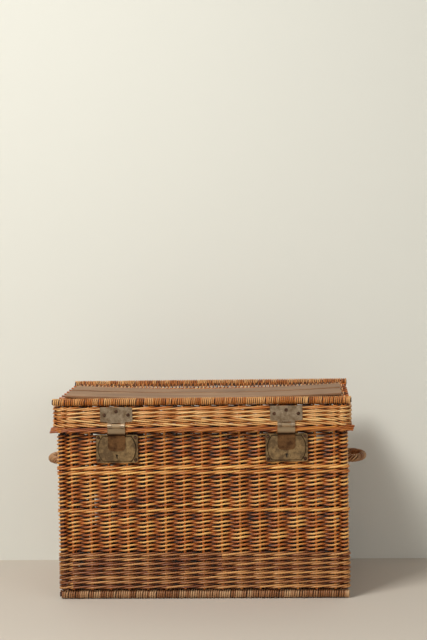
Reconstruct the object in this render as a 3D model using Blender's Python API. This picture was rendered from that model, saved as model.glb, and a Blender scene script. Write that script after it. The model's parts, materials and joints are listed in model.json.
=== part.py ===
"""A rectangular wicker trunk with a hinged cap lid, two hasp locks and two rope-wrapped handles.

Metres, +Z up, front towards -Y. Each wall has its own local frame: X along the wall,
-Y outwards from the body's outer face, +Z up. "out" is a distance outwards from that face.
"""

import math

import bmesh
import bpy
from mathutils import Matrix, Vector

# Overall sizes
BODY_LENGTH = 0.744
BODY_DEPTH = 0.450
TOTAL_HEIGHT = 0.520
LID_HEIGHT = 0.090
LID_EDGE_Z = TOTAL_HEIGHT - LID_HEIGHT
COLLAR_TOP_DROP = 0.056
COLLAR_TOP_Z = TOTAL_HEIGHT - COLLAR_TOP_DROP

# Clearances
GAP = 0.0003
LID_CLEARANCE = 0.0015

# Wicker walls of the body
WALL = 0.015
COLLAR_WALL = 0.012
CUT_REACH = 0.015
COLLAR_STEP = 0.0035
COLLAR_LEAN = 0.0035
CORNER_RADIUS = 0.016
STAKE_RADIUS = 0.003
FRONT_STAKES = 15
FRONT_STAKE_SPACING = BODY_LENGTH / (FRONT_STAKES + 0.5)
SIDE_STAKES = 9
SIDE_STAKE_SPACING = BODY_DEPTH / (SIDE_STAKES + 0.375)
CORNER_POST_RADIUS = 0.006
BODY_BORDER_HEIGHT = 0.012

# Base
BASE_ROLL = 0.024
ROLL_FLAT_SINK = 0.0005
BASE_PANEL = 0.014
EDGE_STICK_RADIUS = 0.0065

# Lid
LID_OVERHANG = 0.009
SKIRT = 0.012
LID_BORDER_HEIGHT = 0.013
LID_BORDER_PROUD = 0.0035
LID_STAKE_RADIUS = 0.0022
LID_CORNER_STAKE_INSET = 0.012
LID_ROLL = 0.022
LID_PANEL = 0.012
LID_SAG = 0.013
END_PANEL_DROP = 0.00325
PANEL_CUTS = (-0.9, -0.75, -0.5, 0, 0.5, 0.75, 0.9)
SAG_POWER = 6
SAG_STEPS = 10
SLAT_END_INSET = 0.0145
SLAT_LENGTH = BODY_LENGTH - 2 * SLAT_END_INSET
SLAT_EDGES = {"front": (-0.35, -0.09), "rear": (-0.018, 0.19)}
SLAT_THICKNESS = 0.006
SLAT_BEVEL = 0.0012

# Handles
HANDLE_REACH = 0.054
HANDLE_HALF_SPAN = 1.25 * SIDE_STAKE_SPACING
HANDLE_DROP = 0.094
HANDLE_Z = LID_EDGE_Z - HANDLE_DROP
HANDLE_RADIUS = 0.0105
HANDLE_CORE_RADIUS = 0.005
HANDLE_BEND = 0.022
HANDLE_SHOULDER = 0.025
HANDLE_RISE = 0.022

# Sides of the round shapes
PIN_SIDES = 8
BARREL_SIDES = 12
CAM_SIDES = 20
RIVET_SIDES = 8
BOSS_STEPS = 8
ROLL_STEPS = 10
FLAT_STEPS = 3

# Sheet metal
SHEET = 0.002
PLATE_CORNER = 0.003
SHEET_EDGE = 0.0004
STRAP_SHEET = 0.0015
JOIN_STEP = 0.0001
RIVET_RADIUS = 0.002
RIVET_HEAD_RADIUS = 0.0046
RIVET_HEAD_HEIGHT = 0.003

# Hasps and lid hinges
HARDWARE_X = 4.5 * FRONT_STAKE_SPACING
TEE_WIDTH = 0.082
TEE_HEIGHT = 0.0375
TEE_BOTTOM = 0.0295
TEE_SHOULDER = 0.001
TEE_NECK_DROP = 0.0035
HASP_CURL_DROP = 0.001
HINGE_BEND_RISE = 0.006
STRAP_WIDTH = 0.045
STRAP_BEND = 0.003
TEE_RIVET_FROM_STAKE = 0.0065
TEE_RIVET_X = FRONT_STAKE_SPACING / 2 + TEE_RIVET_FROM_STAKE
TEE_RIVET_Z = 0.0175
TEE_RIVET_LIFT = 0.0092
BARREL_RADIUS = 0.0055
PIN_RADIUS = 0.0025
MIDDLE_KNUCKLE = 0.022
KNUCKLE_GAP = 0.0004
HASP_AXIS_ABOVE_BORDER = 0.006
HINGE_AXIS_BELOW_EDGE = 0.0063
TONGUE_TIP_DROP = 0.045
TONGUE_TIP_Z = LID_EDGE_Z - TONGUE_TIP_DROP
TONGUE_CORNER = 0.010
TONGUE_POINT = 0.0015
TONGUE_STEP = 0.009
BACK_STRAP_HEIGHT = 0.024
BACK_STRAP_DROP = 0.0048
BACK_STRAP_WIDTH = 0.078
BODY_LEAF_WIDTH = 0.044
BODY_LEAF_HEIGHT = 0.047
BODY_LEAF_TOP_DROP = 0.019
BODY_LEAF_RIVET_X = 0.012
BODY_LEAF_RIVET_RISE = 0.021

# Locks
LOCK_WIDTH = 0.107
LOCK_HEIGHT = 0.072
LOCK_BELOW_EDGE = 0.0045
LOCK_CORNER = 0.005
LOCK_SHEET = 0.0015
LOCK_BACK_SHEET = 0.001
LOCK_CAVITY = 0.0042
BOSS_RADIUS = 0.048
BOSS_FLAT = 0.031
BOSS_EDGE = 0.0008
LOCK_RIVET_X = 0.047
LOCK_RIVET_Z = 0.029
KEYHOLE_DROP = 0.017
KEYHOLE_RADIUS = 0.003
KEYHOLE_SLOT_WIDTH = 0.003
KEYHOLE_SLOT_LENGTH = 0.0075
STAPLE_RISE = 0.0105
STAPLE_HEIGHT = 0.014
STAPLE_BAR = 0.0025
STAPLE_TIP = 0.0014
STAPLE_WIDTH = 0.004
STAPLE_SIDE_GAP = 0.0008
STAPLE_SWING_ROOM = 0.0017
BOLT_SHEET = 0.0014
BOLT_HEIGHT = 0.006
BOLT_TAIL = 0.017
BOLT_ARM_HEIGHT = 0.0112
FORK_GAP = 0.0004
FORK_DEPTH = 0.0057
CAM_RADIUS = 0.008
CAM_SHEET = 0.0019
CRANK_RADIUS = 0.0055
CRANK_PIN_RADIUS = 0.001
CRANK_START = math.radians(45)
BOLT_ARM_END = 0.005
KEYWAY_WIDTH = 0.0016
KEYWAY_LENGTH = 0.009

# Worked out from the sizes above
HALF_LENGTH = BODY_LENGTH / 2
HALF_DEPTH = BODY_DEPTH / 2
SKIRT_FACE = LID_OVERHANG
SKIRT_BACK = LID_OVERHANG - SKIRT
LID_BORDER_FACE = LID_OVERHANG + LID_BORDER_PROUD
LID_BORDER_TOP = LID_EDGE_Z + LID_BORDER_HEIGHT
SKIRT_TOP = TOTAL_HEIGHT - LID_ROLL - GAP
LID_ROLL_Z = TOTAL_HEIGHT - LID_ROLL / 2
COLLAR_BASE_FACE = SKIRT_BACK - LID_CLEARANCE
COLLAR_TOP_FACE = COLLAR_BASE_FACE - COLLAR_LEAN
COLLAR_BASE_Z = LID_EDGE_Z - GAP
STRAP_FACE = LID_BORDER_FACE + GAP
TEE_FACE = SKIRT_FACE + GAP
TEE_Z = LID_EDGE_Z + TEE_BOTTOM
HASP_AXIS_Z = LID_BORDER_TOP + HASP_AXIS_ABOVE_BORDER
HASP_AXIS_OUT = TEE_FACE + BARREL_RADIUS
HINGE_AXIS_Z = LID_EDGE_Z - HINGE_AXIS_BELOW_EDGE
HINGE_AXIS_OUT = STRAP_FACE + SHEET - BARREL_RADIUS
FRONT_REACH = HASP_AXIS_OUT + BARREL_RADIUS
BACK_REACH = STRAP_FACE + SHEET
BODY_Y = (FRONT_REACH - BACK_REACH) / 2

LOCK_Z = LID_EDGE_Z - LOCK_BELOW_EDGE - LOCK_HEIGHT / 2
LOCK_BACK = GAP
LOCK_FLANGE = LOCK_BACK + LOCK_BACK_SHEET + GAP
BOSS_FACE = LOCK_FLANGE + LOCK_CAVITY + LOCK_SHEET - GAP
CAVITY_FACE = BOSS_FACE - LOCK_SHEET
TONGUE_FACE = BOSS_FACE + GAP
KEY_Z = LOCK_Z - KEYHOLE_DROP
STAPLE_Z = LOCK_Z + STAPLE_RISE
STAPLE_END = LOCK_BACK + LOCK_BACK_SHEET + GAP * 2
BOLT_OUT = CAVITY_FACE - GAP - BOLT_SHEET
CAM_OUT = LOCK_FLANGE
CRANK_X = CRANK_RADIUS * math.sin(CRANK_START)
CRANK_Z = CRANK_RADIUS * math.cos(CRANK_START)
BOLT_TRAVEL = 2 * CRANK_X
INNER_FACE = -WALL

# Points (x, y) of an outline map to these planes; the extrusion goes along the third direction.
PLAN = Matrix(((1, 0, 0), (0, 1, 0), (0, 0, 1))).to_4x4()
SECTION = Matrix(((0, 0, 1), (1, 0, 0), (0, 1, 0))).to_4x4()
FACE = Matrix(((1, 0, 0), (0, 0, -1), (0, 1, 0))).to_4x4()

SIDES = {
    "front": (0, HALF_DEPTH, FRONT_STAKES, FRONT_STAKE_SPACING),
    "right": (90, HALF_LENGTH, SIDE_STAKES, SIDE_STAKE_SPACING),
    "back": (180, HALF_DEPTH, FRONT_STAKES, FRONT_STAKE_SPACING),
    "left": (270, HALF_LENGTH, SIDE_STAKES, SIDE_STAKE_SPACING),
}
PAIR = (("left", -1), ("right", 1))

MATERIALS = {
    "wicker": ((0.46, 0.21, 0.055, 1), 0.5, 0.0),
    "stake_willow": ((0.34, 0.15, 0.045, 1), 0.55, 0.0),
    "slat_wood": ((0.24, 0.14, 0.075, 1), 0.6, 0.0),
    "aged_brass": ((0.32, 0.24, 0.15, 1), 0.42, 1.0),
    "dark_steel": ((0.16, 0.14, 0.12, 1), 0.5, 1.0),
}


# ---------------------------------------------------------------- scene and materials

def clear_scene():
    for obj in list(bpy.data.objects):
        bpy.data.objects.remove(obj, do_unlink=True)


def collection(name, hidden=False):
    made = bpy.data.collections.new(name)
    bpy.context.scene.collection.children.link(made)
    made.hide_render = hidden
    return made


def material(kind, node):
    colour, roughness, metallic = MATERIALS[kind]
    made = bpy.data.materials.new(f"{node}_{kind}")
    made.use_nodes = True
    shader = made.node_tree.nodes["Principled BSDF"]
    shader.inputs["Base Color"].default_value = colour
    shader.inputs["Roughness"].default_value = roughness
    shader.inputs["Metallic"].default_value = metallic
    return made


def finish(obj, name, kind, origin=None, smooth=35):
    """Turns a shape into a named node: its material, its shading and its origin."""
    obj.name = name
    obj.data.name = name
    obj.data.materials.clear()
    obj.data.materials.append(material(kind, name))
    obj.data.shade_smooth()
    obj.data.set_sharp_from_angle(angle=math.radians(smooth))
    if origin is not None:
        obj.data.transform(Matrix.Translation(-Vector(origin)))
        obj.location = origin
    obj.parent = BASKET
    for owner in list(obj.users_collection):
        owner.objects.unlink(obj)
    PARTS.objects.link(obj)
    return obj


def helper(obj, name):
    """Keeps a cutter or a joined shape out of the model."""
    obj.name = name
    obj.hide_render = True
    obj.display_type = "WIRE"
    obj.parent = BASKET
    for owner in list(obj.users_collection):
        owner.objects.unlink(obj)
    HELPERS.objects.link(obj)
    return obj


# ---------------------------------------------------------------- outlines

def arc(centre, radius, start, end, steps):
    """Points of an arc from start to end, in radians, both ends included."""
    angles = [start + (end - start) * i / steps for i in range(steps + 1)]
    return [(centre[0] + radius * math.cos(a), centre[1] + radius * math.sin(a)) for a in angles]


def circle(centre, radius, sides=8):
    return arc(centre, radius, 0, 2 * math.pi, sides)[:-1]


def rectangle(low, high):
    return [low, (high[0], low[1]), high, (low[0], high[1])]


def rounded_rectangle(half_x, half_y, radius, steps=3, centre=(0, 0)):
    points = []
    for turn, (sx, sy) in enumerate(((1, 1), (-1, 1), (-1, -1), (1, -1))):
        corner = (centre[0] + sx * (half_x - radius), centre[1] + sy * (half_y - radius))
        start = turn * math.pi / 2
        points += arc(corner, radius, start, start + math.pi / 2, steps)
    return points


def rounded_path(points, radius, steps=3):
    """The same polyline with each inner corner turned into an arc of up to this radius."""
    path = [Vector(points[0])]
    for before, here, after in zip(points, points[1:], points[2:]):
        here, back, on = Vector(here), Vector(before) - Vector(here), Vector(after) - Vector(here)
        half = back.angle(on) / 2
        reach = min(radius / math.tan(half), 0.49 * back.length, 0.49 * on.length)
        start, end = here + back.normalized() * reach, here + on.normalized() * reach
        for i in range(steps + 1):
            t = i / steps
            path.append((1 - t) ** 2 * start + 2 * t * (1 - t) * here + t * t * end)
    path.append(Vector(points[-1]))
    return path


def strip(points, thickness, radius=STRAP_BEND):
    """Outline of a bent sheet whose middle line follows these points."""
    path = rounded_path(points, radius)
    near, far = [], []
    for i, here in enumerate(path):
        along = (path[min(i + 1, len(path) - 1)] - path[max(i - 1, 0)]).normalized()
        across = Vector((-along.y, along.x)) * thickness / 2
        near.append(tuple(here + across))
        far.append(tuple(here - across))
    return near + far[::-1]


def knuckle(axis, strap_side, strap_way, strap_end, sides=BARREL_SIDES):
    """Outline of a rolled knuckle with a tangent strap. strap_side and strap_way are +1 or -1."""
    outer, inner = BARREL_RADIUS - JOIN_STEP, BARREL_RADIUS - SHEET + JOIN_STEP
    start, end = math.acos(inner / BARREL_RADIUS), math.acos(outer / BARREL_RADIUS)
    reach = abs(strap_end - axis[1])
    local = [(outer, reach), (inner, reach)]
    local += arc((0, 0), BARREL_RADIUS, start, 2 * math.pi + end, sides)
    return [(axis[0] + strap_side * u, axis[1] + strap_way * v) for u, v in local]


def clipped_circle(radius, flat, centre, steps=BOSS_STEPS):
    """A circle cut flat at the top and the bottom."""
    edge = math.asin(flat / radius)
    right = arc(centre, radius, -edge, edge, steps)
    left = arc(centre, radius, math.pi - edge, math.pi + edge, steps)
    return right + left


# ---------------------------------------------------------------- solids

def to_mesh(obj):
    """Replaces a curve by its mesh, welded and facing out."""
    graph = bpy.context.evaluated_depsgraph_get()
    mesh = bpy.data.meshes.new_from_object(obj.evaluated_get(graph))
    matrix = obj.matrix_world.copy()
    bpy.data.objects.remove(obj, do_unlink=True)
    bm = bmesh.new()
    bm.from_mesh(mesh)
    bmesh.ops.remove_doubles(bm, verts=bm.verts, dist=1e-6)
    bmesh.ops.recalc_face_normals(bm, faces=bm.faces)
    bm.to_mesh(mesh)
    bm.free()
    mesh.transform(matrix)
    made = bpy.data.objects.new("shape", mesh)
    bpy.context.scene.collection.objects.link(made)
    return made


def new_curve(dimensions):
    curve = bpy.data.curves.new("shape", "CURVE")
    curve.dimensions = dimensions
    obj = bpy.data.objects.new("shape", curve)
    bpy.context.scene.collection.objects.link(obj)
    return obj, curve


def add_spline(curve, points, cyclic):
    spline = curve.splines.new("POLY")
    spline.points.add(len(points) - 1)
    for place, point in zip(spline.points, points):
        place.co = (*point, *((0,) * (3 - len(point))), 1)
    spline.use_cyclic_u = cyclic


def slab(outlines, low, high, plane=PLAN, edge=0.0):
    """A flat outline, with any holes, extruded from low to high. edge is the chamfer of its rims."""
    obj, curve = new_curve("2D")
    curve.fill_mode = "BOTH"
    for points in outlines:
        add_spline(curve, points, True)
    curve.extrude = (high - low) / 2 - edge
    curve.bevel_depth = edge
    curve.bevel_resolution = 0
    curve.offset = -edge
    obj.matrix_world = plane @ Matrix.Translation((0, 0, (low + high) / 2))
    bpy.context.view_layer.update()
    return to_mesh(obj)


def section(outlines, width, edge=0.0, x=0.0):
    """An outline of points (y, z), extruded along X and centred on x."""
    return slab(outlines, x - width / 2, x + width / 2, SECTION, edge)


def tubes(paths, radius, sides=6):
    """One mesh of round rods, each along its own path."""
    obj, curve = new_curve("3D")
    curve.bevel_depth = radius
    curve.bevel_resolution = (sides - 4) // 2
    curve.use_fill_caps = True
    for path in paths:
        add_spline(curve, [tuple(point) for point in path], False)
    bpy.context.view_layer.update()
    return to_mesh(obj)


def turned(profile, steps=RIVET_SIDES):
    """A solid turned round Z from a profile of points (radius, z) that starts and ends on the axis."""
    bm = bmesh.new()
    points = [bm.verts.new((radius, 0, z)) for radius, z in profile]
    edges = [bm.edges.new(pair) for pair in zip(points, points[1:])]
    bmesh.ops.spin(bm, geom=points + edges, cent=(0, 0, 0), axis=(0, 0, 1), dvec=(0, 0, 0),
                   angle=2 * math.pi, steps=steps, use_merge=True, use_duplicate=False)
    bmesh.ops.remove_doubles(bm, verts=bm.verts, dist=1e-6)
    bmesh.ops.recalc_face_normals(bm, faces=bm.faces)
    return mesh_object(bm)


def mesh_object(bm):
    mesh = bpy.data.meshes.new("shape")
    bm.to_mesh(mesh)
    bm.free()
    made = bpy.data.objects.new("shape", mesh)
    bpy.context.scene.collection.objects.link(made)
    return made


def copies(obj, places):
    """One mesh of several copies of a shape; the original is removed."""
    bm = bmesh.new()
    for place in places:
        mesh = obj.data.copy()
        mesh.transform(place)
        bm.from_mesh(mesh)
        bpy.data.meshes.remove(mesh)
    bpy.data.objects.remove(obj, do_unlink=True)
    return mesh_object(bm)


def boolean(obj, other, operation, solver="EXACT"):
    modifier = obj.modifiers.new(operation.lower(), "BOOLEAN")
    modifier.operation = operation
    modifier.solver = solver
    modifier.object = other


def cut(obj, cutter, name, solver="EXACT"):
    """Cuts a shape. Many fine holes, or faces that nearly meet, need the MANIFOLD solver."""
    boolean(obj, helper(cutter, name), "DIFFERENCE", solver)
    return obj


def keep(obj, shape, name):
    boolean(obj, helper(shape, name), "INTERSECT")
    return obj


def join(obj, other, name):
    boolean(obj, helper(other, name), "UNION")
    return obj


def place(obj, matrix):
    obj.data.transform(matrix)
    return obj


# ---------------------------------------------------------------- walls

def side_frame(side, x=0.0):
    """From a wall's local frame to the basket's."""
    angle, half, *_ = SIDES[side]
    turn = Matrix.Rotation(math.radians(angle), 4, "Z")
    return turn @ Matrix.Translation((x, -half, 0))


def wall_outline(face):
    """The body's rounded rectangle, moved outwards by face."""
    radius = max(CORNER_RADIUS + face, GAP)
    return rounded_rectangle(HALF_LENGTH + face, HALF_DEPTH + face, radius)


def wall_ring(levels):
    """A closed loft round all four sides; each level is (z, outer face, thickness)."""
    rings = [(z, face) for z, face, _ in levels]
    rings += [(z, face - thickness) for z, face, thickness in reversed(levels)]
    bm = bmesh.new()
    loops = [[bm.verts.new((x, y, z)) for x, y in wall_outline(face)] for z, face in rings]
    for lower, upper in zip(loops, loops[1:] + loops[:1]):
        for i in range(len(lower)):
            bm.faces.new((lower[i - 1], lower[i], upper[i], upper[i - 1]))
    bmesh.ops.recalc_face_normals(bm, faces=bm.faces)
    return mesh_object(bm)


def sector(side):
    """Everything on one side of the two corner mitres."""
    angle, half, *_ = SIDES[side]
    across = HALF_LENGTH if half == HALF_DEPTH else HALF_DEPTH
    far = LID_BORDER_FACE + CUT_REACH + CORNER_RADIUS
    near = COLLAR_STEP + 2 * CUT_REACH
    wide, deep = across - CORNER_RADIUS, half - CORNER_RADIUS
    points = [(-wide - far, -deep - far), (wide + far, -deep - far),
              (wide - near, -deep + near), (near - wide, -deep + near)]
    prism = slab([points], -CUT_REACH, TOTAL_HEIGHT + CUT_REACH)
    turn = Matrix.Rotation(math.radians(angle), 4, "Z")
    return place(prism, turn @ Matrix.Translation((0, -GAP, 0)))


def stake_places(side):
    _, _, count, spacing = SIDES[side]
    return [(i - (count - 1) / 2) * spacing for i in range(count)]


def stakes(side, places, line, radius):
    """Rods that stand in a wall at these places; line is a list of (out, z)."""
    paths = [[(x, -out, z) for out, z in line] for x in places]
    return place(tubes(paths, radius), side_frame(side))


def body_levels():
    """(z, outer face, thickness) of the body's wall, up to the top of its border."""
    return [
        (BASE_ROLL + GAP, 0, WALL),
        (LID_EDGE_Z - COLLAR_STEP, 0, WALL),
        (COLLAR_BASE_Z, COLLAR_BASE_FACE, COLLAR_WALL),
        (COLLAR_TOP_Z, COLLAR_TOP_FACE, COLLAR_WALL),
    ]


def level_at(z):
    """The body's level at a height on its collar."""
    share = (z - COLLAR_BASE_Z) / (COLLAR_TOP_Z - COLLAR_BASE_Z)
    return z, COLLAR_BASE_FACE + share * (COLLAR_TOP_FACE - COLLAR_BASE_FACE), COLLAR_WALL


def body_stake_line(extra=0.0):
    """The middle line of the body's wall, up into its border, run past both ends by extra."""
    low, knee, collar, _ = body_levels()
    top = level_at(COLLAR_TOP_Z - BODY_BORDER_HEIGHT / 2 + extra)
    line = [(face - thickness / 2, z) for z, face, thickness in (low, knee, collar, top)]
    line[0] = (line[0][0], line[0][1] - extra)
    return line


def corner_posts(radius, low, high):
    inset = CORNER_RADIUS - (CORNER_RADIUS - WALL / 2) * math.sqrt(0.5)
    x, y = HALF_LENGTH - inset, HALF_DEPTH - inset
    return {
        f"{fore}_{side}": [(sx * x, sy * y, low), (sx * x, sy * y, high)]
        for fore, sy in (("front", -1), ("back", 1)) for side, sx in PAIR
    }


def roll_cutters(radius, half_depth, z):
    reach = HALF_LENGTH + LID_BORDER_FACE + CUT_REACH
    paths = [[(-reach, y, z), (reach, y, z)] for y in (-half_depth, half_depth)]
    return tubes(paths, radius + GAP, sides=16)


def rivet_holes(frame, places, low, high):
    paths = [[(x, -low, z), (x, -high, z)] for x, z in places]
    return place(tubes(paths, RIVET_RADIUS + GAP, sides=RIVET_SIDES), frame)


def make_body_walls():
    levels = body_levels()
    border_z = COLLAR_TOP_Z - BODY_BORDER_HEIGHT
    weave_top = level_at(border_z - GAP)
    wall_low = BASE_ROLL / 2 + BASE_PANEL / 2 - ROLL_FLAT_SINK + GAP
    for side in SIDES:
        low = levels[0][0] if side in ("front", "back") else wall_low
        ring = wall_ring([(low, 0, WALL), *levels[1:3], weave_top])
        keep(ring, sector(side), f"{side}_wall_sector")
        places = stake_places(side)
        bore = stakes(side, places, body_stake_line(BODY_BORDER_HEIGHT), STAKE_RADIUS + GAP)
        cut(ring, bore, f"{side}_stake_holes", "MANIFOLD")
        posts = corner_posts(CORNER_POST_RADIUS, 0, levels[1][0] + GAP)
        posts = tubes(posts.values(), CORNER_POST_RADIUS + GAP, sides=8)
        cut(ring, posts, f"{side}_post_holes", "MANIFOLD")
        cut_wall_details(ring, side)
        finish(ring, f"{side}_wall_weave", "wicker")

        border = wall_ring([level_at(border_z), level_at(COLLAR_TOP_Z)])
        keep(border, sector(side), f"{side}_border_sector")
        rods = stakes(side, places, body_stake_line(), STAKE_RADIUS)
        join(border, rods, f"{side}_stake_rods")
        finish(border, f"{side}_stakes_and_border", "stake_willow")


def cut_wall_details(ring, side):
    """Holes for what is fastened through each wall of the body."""
    low, high = 2 * INNER_FACE, CUT_REACH
    if side in ("left", "right"):
        cut(ring, roll_cutters(BASE_ROLL / 2, HALF_DEPTH - BASE_ROLL / 2, base_roll_z()),
            f"{side}_base_roll_room", "MANIFOLD")
        legs = [[(x, -high, HANDLE_Z), (x, -low, HANDLE_Z)]
                for x in (-HANDLE_HALF_SPAN, HANDLE_HALF_SPAN)]
        holes = tubes(legs, HANDLE_CORE_RADIUS + GAP, sides=8)
        cut(ring, place(holes, side_frame(side)), f"{side}_handle_holes", "MANIFOLD")
        return
    rivets = lock_rivet_places() if side == "front" else body_leaf_rivet_places()
    for hand, sign in PAIR:
        frame = side_frame(side, sign * HARDWARE_X)
        holes = rivet_holes(frame, rivets, low, high)
        cut(ring, holes, f"{side}_{hand}_rivet_holes", "MANIFOLD")


def make_corner_posts():
    low, knee = body_levels()[:2]
    for name, path in corner_posts(CORNER_POST_RADIUS, low[0], knee[0]).items():
        finish(tubes([path], CORNER_POST_RADIUS, sides=8), f"{name}_corner_post", "stake_willow")


# ---------------------------------------------------------------- base and lid panels

def base_roll_z():
    return BASE_ROLL / 2 - ROLL_FLAT_SINK


def panel_outline(half_depth, radius, roll_z, low, high, middle=(), steps=ROLL_STEPS):
    """Section of a woven panel with a wrapped roll along its front and its back edge.

    A roll that would reach below the floor is worn flat there."""
    y = half_depth - radius
    above = math.asin((high - roll_z) / radius)
    below = math.asin((roll_z - low) / radius)
    worn = math.acos(min(1, roll_z / radius))
    if worn:
        right = arc((y, roll_z), radius, math.pi - above, worn - math.pi / 2, steps)
        right += arc((y, roll_z), radius, -worn - math.pi / 2, below - math.pi, FLAT_STEPS)
    else:
        right = arc((y, roll_z), radius, math.pi - above, below - math.pi, steps)
    left = [(-a, b) for a, b in reversed(right)]
    return right + [(a, low) for a in reversed(middle)] + left + [(a, high) for a in middle]


def edge_stick_holes(half_depth, radius, roll_z):
    return [circle((s * (half_depth - radius), roll_z), EDGE_STICK_RADIUS + GAP) for s in (-1, 1)]


def edge_stick(y, z, length):
    return tubes([[(-length / 2, y, z), (length / 2, y, z)]], EDGE_STICK_RADIUS, sides=8)


def make_base():
    z, radius = base_roll_z(), BASE_ROLL / 2
    outline = panel_outline(HALF_DEPTH, radius, z, z - BASE_PANEL / 2, z + BASE_PANEL / 2)
    outline = [(y, max(height, 0)) for y, height in outline]
    base = section([outline, *edge_stick_holes(HALF_DEPTH, radius, z)], BODY_LENGTH)
    finish(base, "base_weave", "wicker")
    for name, sign in (("front", -1), ("back", 1)):
        stick = edge_stick(sign * (HALF_DEPTH - radius), z, BODY_LENGTH)
        finish(stick, f"base_edge_stick_{name}", "stake_willow")


def sag(x, y):
    """How far the lid's panel hangs down at a place: nothing at its ends and its rolls."""
    along = max(0, 1 - (x / (HALF_LENGTH + LID_OVERHANG)) ** 2)
    inner = HALF_DEPTH + LID_OVERHANG - LID_ROLL
    return LID_SAG * along * max(0, 1 - abs(y / inner) ** SAG_POWER)


def sink(obj):
    """Lets a shape hang down with the lid's panel."""
    for vertex in obj.data.vertices:
        vertex.co.z -= sag(vertex.co.x, vertex.co.y)


def slice_along_x(obj, length, steps):
    """Cuts the faces of a shape at even steps, so that it can bend."""
    bm = bmesh.new()
    bm.from_mesh(obj.data)
    for i in range(1, steps):
        x = length * (i / steps - 0.5)
        geometry = bm.verts[:] + bm.edges[:] + bm.faces[:]
        bmesh.ops.bisect_plane(bm, geom=geometry, plane_co=(x, 0, 0), plane_no=(1, 0, 0))
    bm.to_mesh(obj.data)
    bm.free()


def make_lid_top(origin):
    half, radius = HALF_DEPTH + LID_OVERHANG, LID_ROLL / 2
    length = BODY_LENGTH + 2 * LID_OVERHANG
    inner = half - LID_ROLL
    middle = [inner * share for share in PANEL_CUTS]
    outline = panel_outline(half, radius, LID_ROLL_Z, LID_ROLL_Z - LID_PANEL / 2,
                            LID_ROLL_Z + LID_PANEL / 2, middle)
    top = section([outline, *edge_stick_holes(half, radius, LID_ROLL_Z)], length)
    slice_along_x(top, length, SAG_STEPS)
    sink(top)
    finish(top, "lid_top_weave", "wicker", origin)
    for name, sign in (("front", -1), ("back", 1)):
        stick = edge_stick(sign * (half - radius), LID_ROLL_Z, length)
        finish(stick, f"lid_edge_stick_{name}", "stake_willow", origin)


def make_slats(origin):
    """Two thin boards that lie along the lid and follow its sag. Edges are shares of the depth."""
    for name, shares in SLAT_EDGES.items():
        start, end = (share * BODY_DEPTH for share in shares)
        edge_y = max(abs(start), abs(end))
        low = LID_ROLL_Z + LID_PANEL / 2 + GAP
        bm = bmesh.new()
        bmesh.ops.create_cube(bm, size=1)
        bmesh.ops.scale(bm, vec=(SLAT_LENGTH, end - start, SLAT_THICKNESS), verts=bm.verts)
        bmesh.ops.bevel(bm, geom=bm.edges[:], offset=SLAT_BEVEL, segments=1, profile=0.5,
                        affect="EDGES", material=-1)
        bmesh.ops.translate(bm, vec=(0, 0, low + SLAT_THICKNESS / 2), verts=bm.verts)
        board = mesh_object(bm)
        slice_along_x(board, SLAT_LENGTH, SAG_STEPS)
        for vertex in board.data.vertices:
            vertex.co.z -= sag(vertex.co.x, edge_y)
            vertex.co.y += (start + end) / 2
        finish(board, f"lid_slat_{name}", "slat_wood", origin)


def make_lid_skirt(origin):
    half_depth, half_length = HALF_DEPTH + LID_OVERHANG, HALF_LENGTH + LID_OVERHANG
    roll_y = half_depth - LID_ROLL / 2
    panel_low = LID_ROLL_Z - LID_PANEL / 2
    mid = SKIRT_FACE - SKIRT / 2
    for side in SIDES:
        ends = side in ("left", "right")
        top = panel_low - END_PANEL_DROP if ends else SKIRT_TOP
        ring = wall_ring([(LID_BORDER_TOP + GAP, SKIRT_FACE, SKIRT), (top, SKIRT_FACE, SKIRT)])
        keep(ring, sector(side), f"{side}_skirt_sector")
        if ends:
            cut(ring, roll_cutters(LID_ROLL / 2, roll_y, LID_ROLL_Z), f"{side}_lid_roll_room", "MANIFOLD")
        corner = (half_depth if ends else half_length) - LID_CORNER_STAKE_INSET - SKIRT
        places = [-corner, *stake_places(side), corner]
        rod_top = SKIRT_TOP - LID_STAKE_RADIUS
        line = [(mid, LID_BORDER_TOP - LID_STAKE_RADIUS), (mid, rod_top)]
        bore = [(mid, LID_EDGE_Z), (mid, rod_top + GAP)]
        holes = stakes(side, places, bore, LID_STAKE_RADIUS + GAP)
        cut(ring, holes, f"{side}_lid_stake_holes", "MANIFOLD")
        if not ends:
            for hand, sign in PAIR:
                frame = side_frame(side, sign * HARDWARE_X)
                holes = rivet_holes(frame, tee_rivet_places(), -CUT_REACH, CUT_REACH)
                cut(ring, holes, f"{side}_{hand}_tee_holes", "MANIFOLD")
        finish(ring, f"lid_{side}_skirt_weave", "wicker", origin)

        thickness = SKIRT + LID_BORDER_PROUD
        border = wall_ring([(LID_EDGE_Z, LID_BORDER_FACE, thickness),
                            (LID_BORDER_TOP, LID_BORDER_FACE, thickness)])
        keep(border, sector(side), f"{side}_lid_border_sector")
        join(border, stakes(side, places, line, LID_STAKE_RADIUS), f"{side}_lid_rods")
        finish(border, f"lid_{side}_stakes_and_border", "stake_willow", origin)


# ---------------------------------------------------------------- handles

def handle_path(low):
    """The handle's middle line, from one leg to the other; low is where the legs start."""
    reach = HANDLE_REACH - HANDLE_RADIUS
    half = [(-HANDLE_HALF_SPAN, INNER_FACE), (-HANDLE_HALF_SPAN, HANDLE_RISE),
            (-HANDLE_SHOULDER, reach)]
    path = rounded_path(half + [(-x, out) for x, out in reversed(half)], HANDLE_BEND)
    path[0].y = path[-1].y = low
    return [(point.x, -point.y, HANDLE_Z) for point in path]


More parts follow.
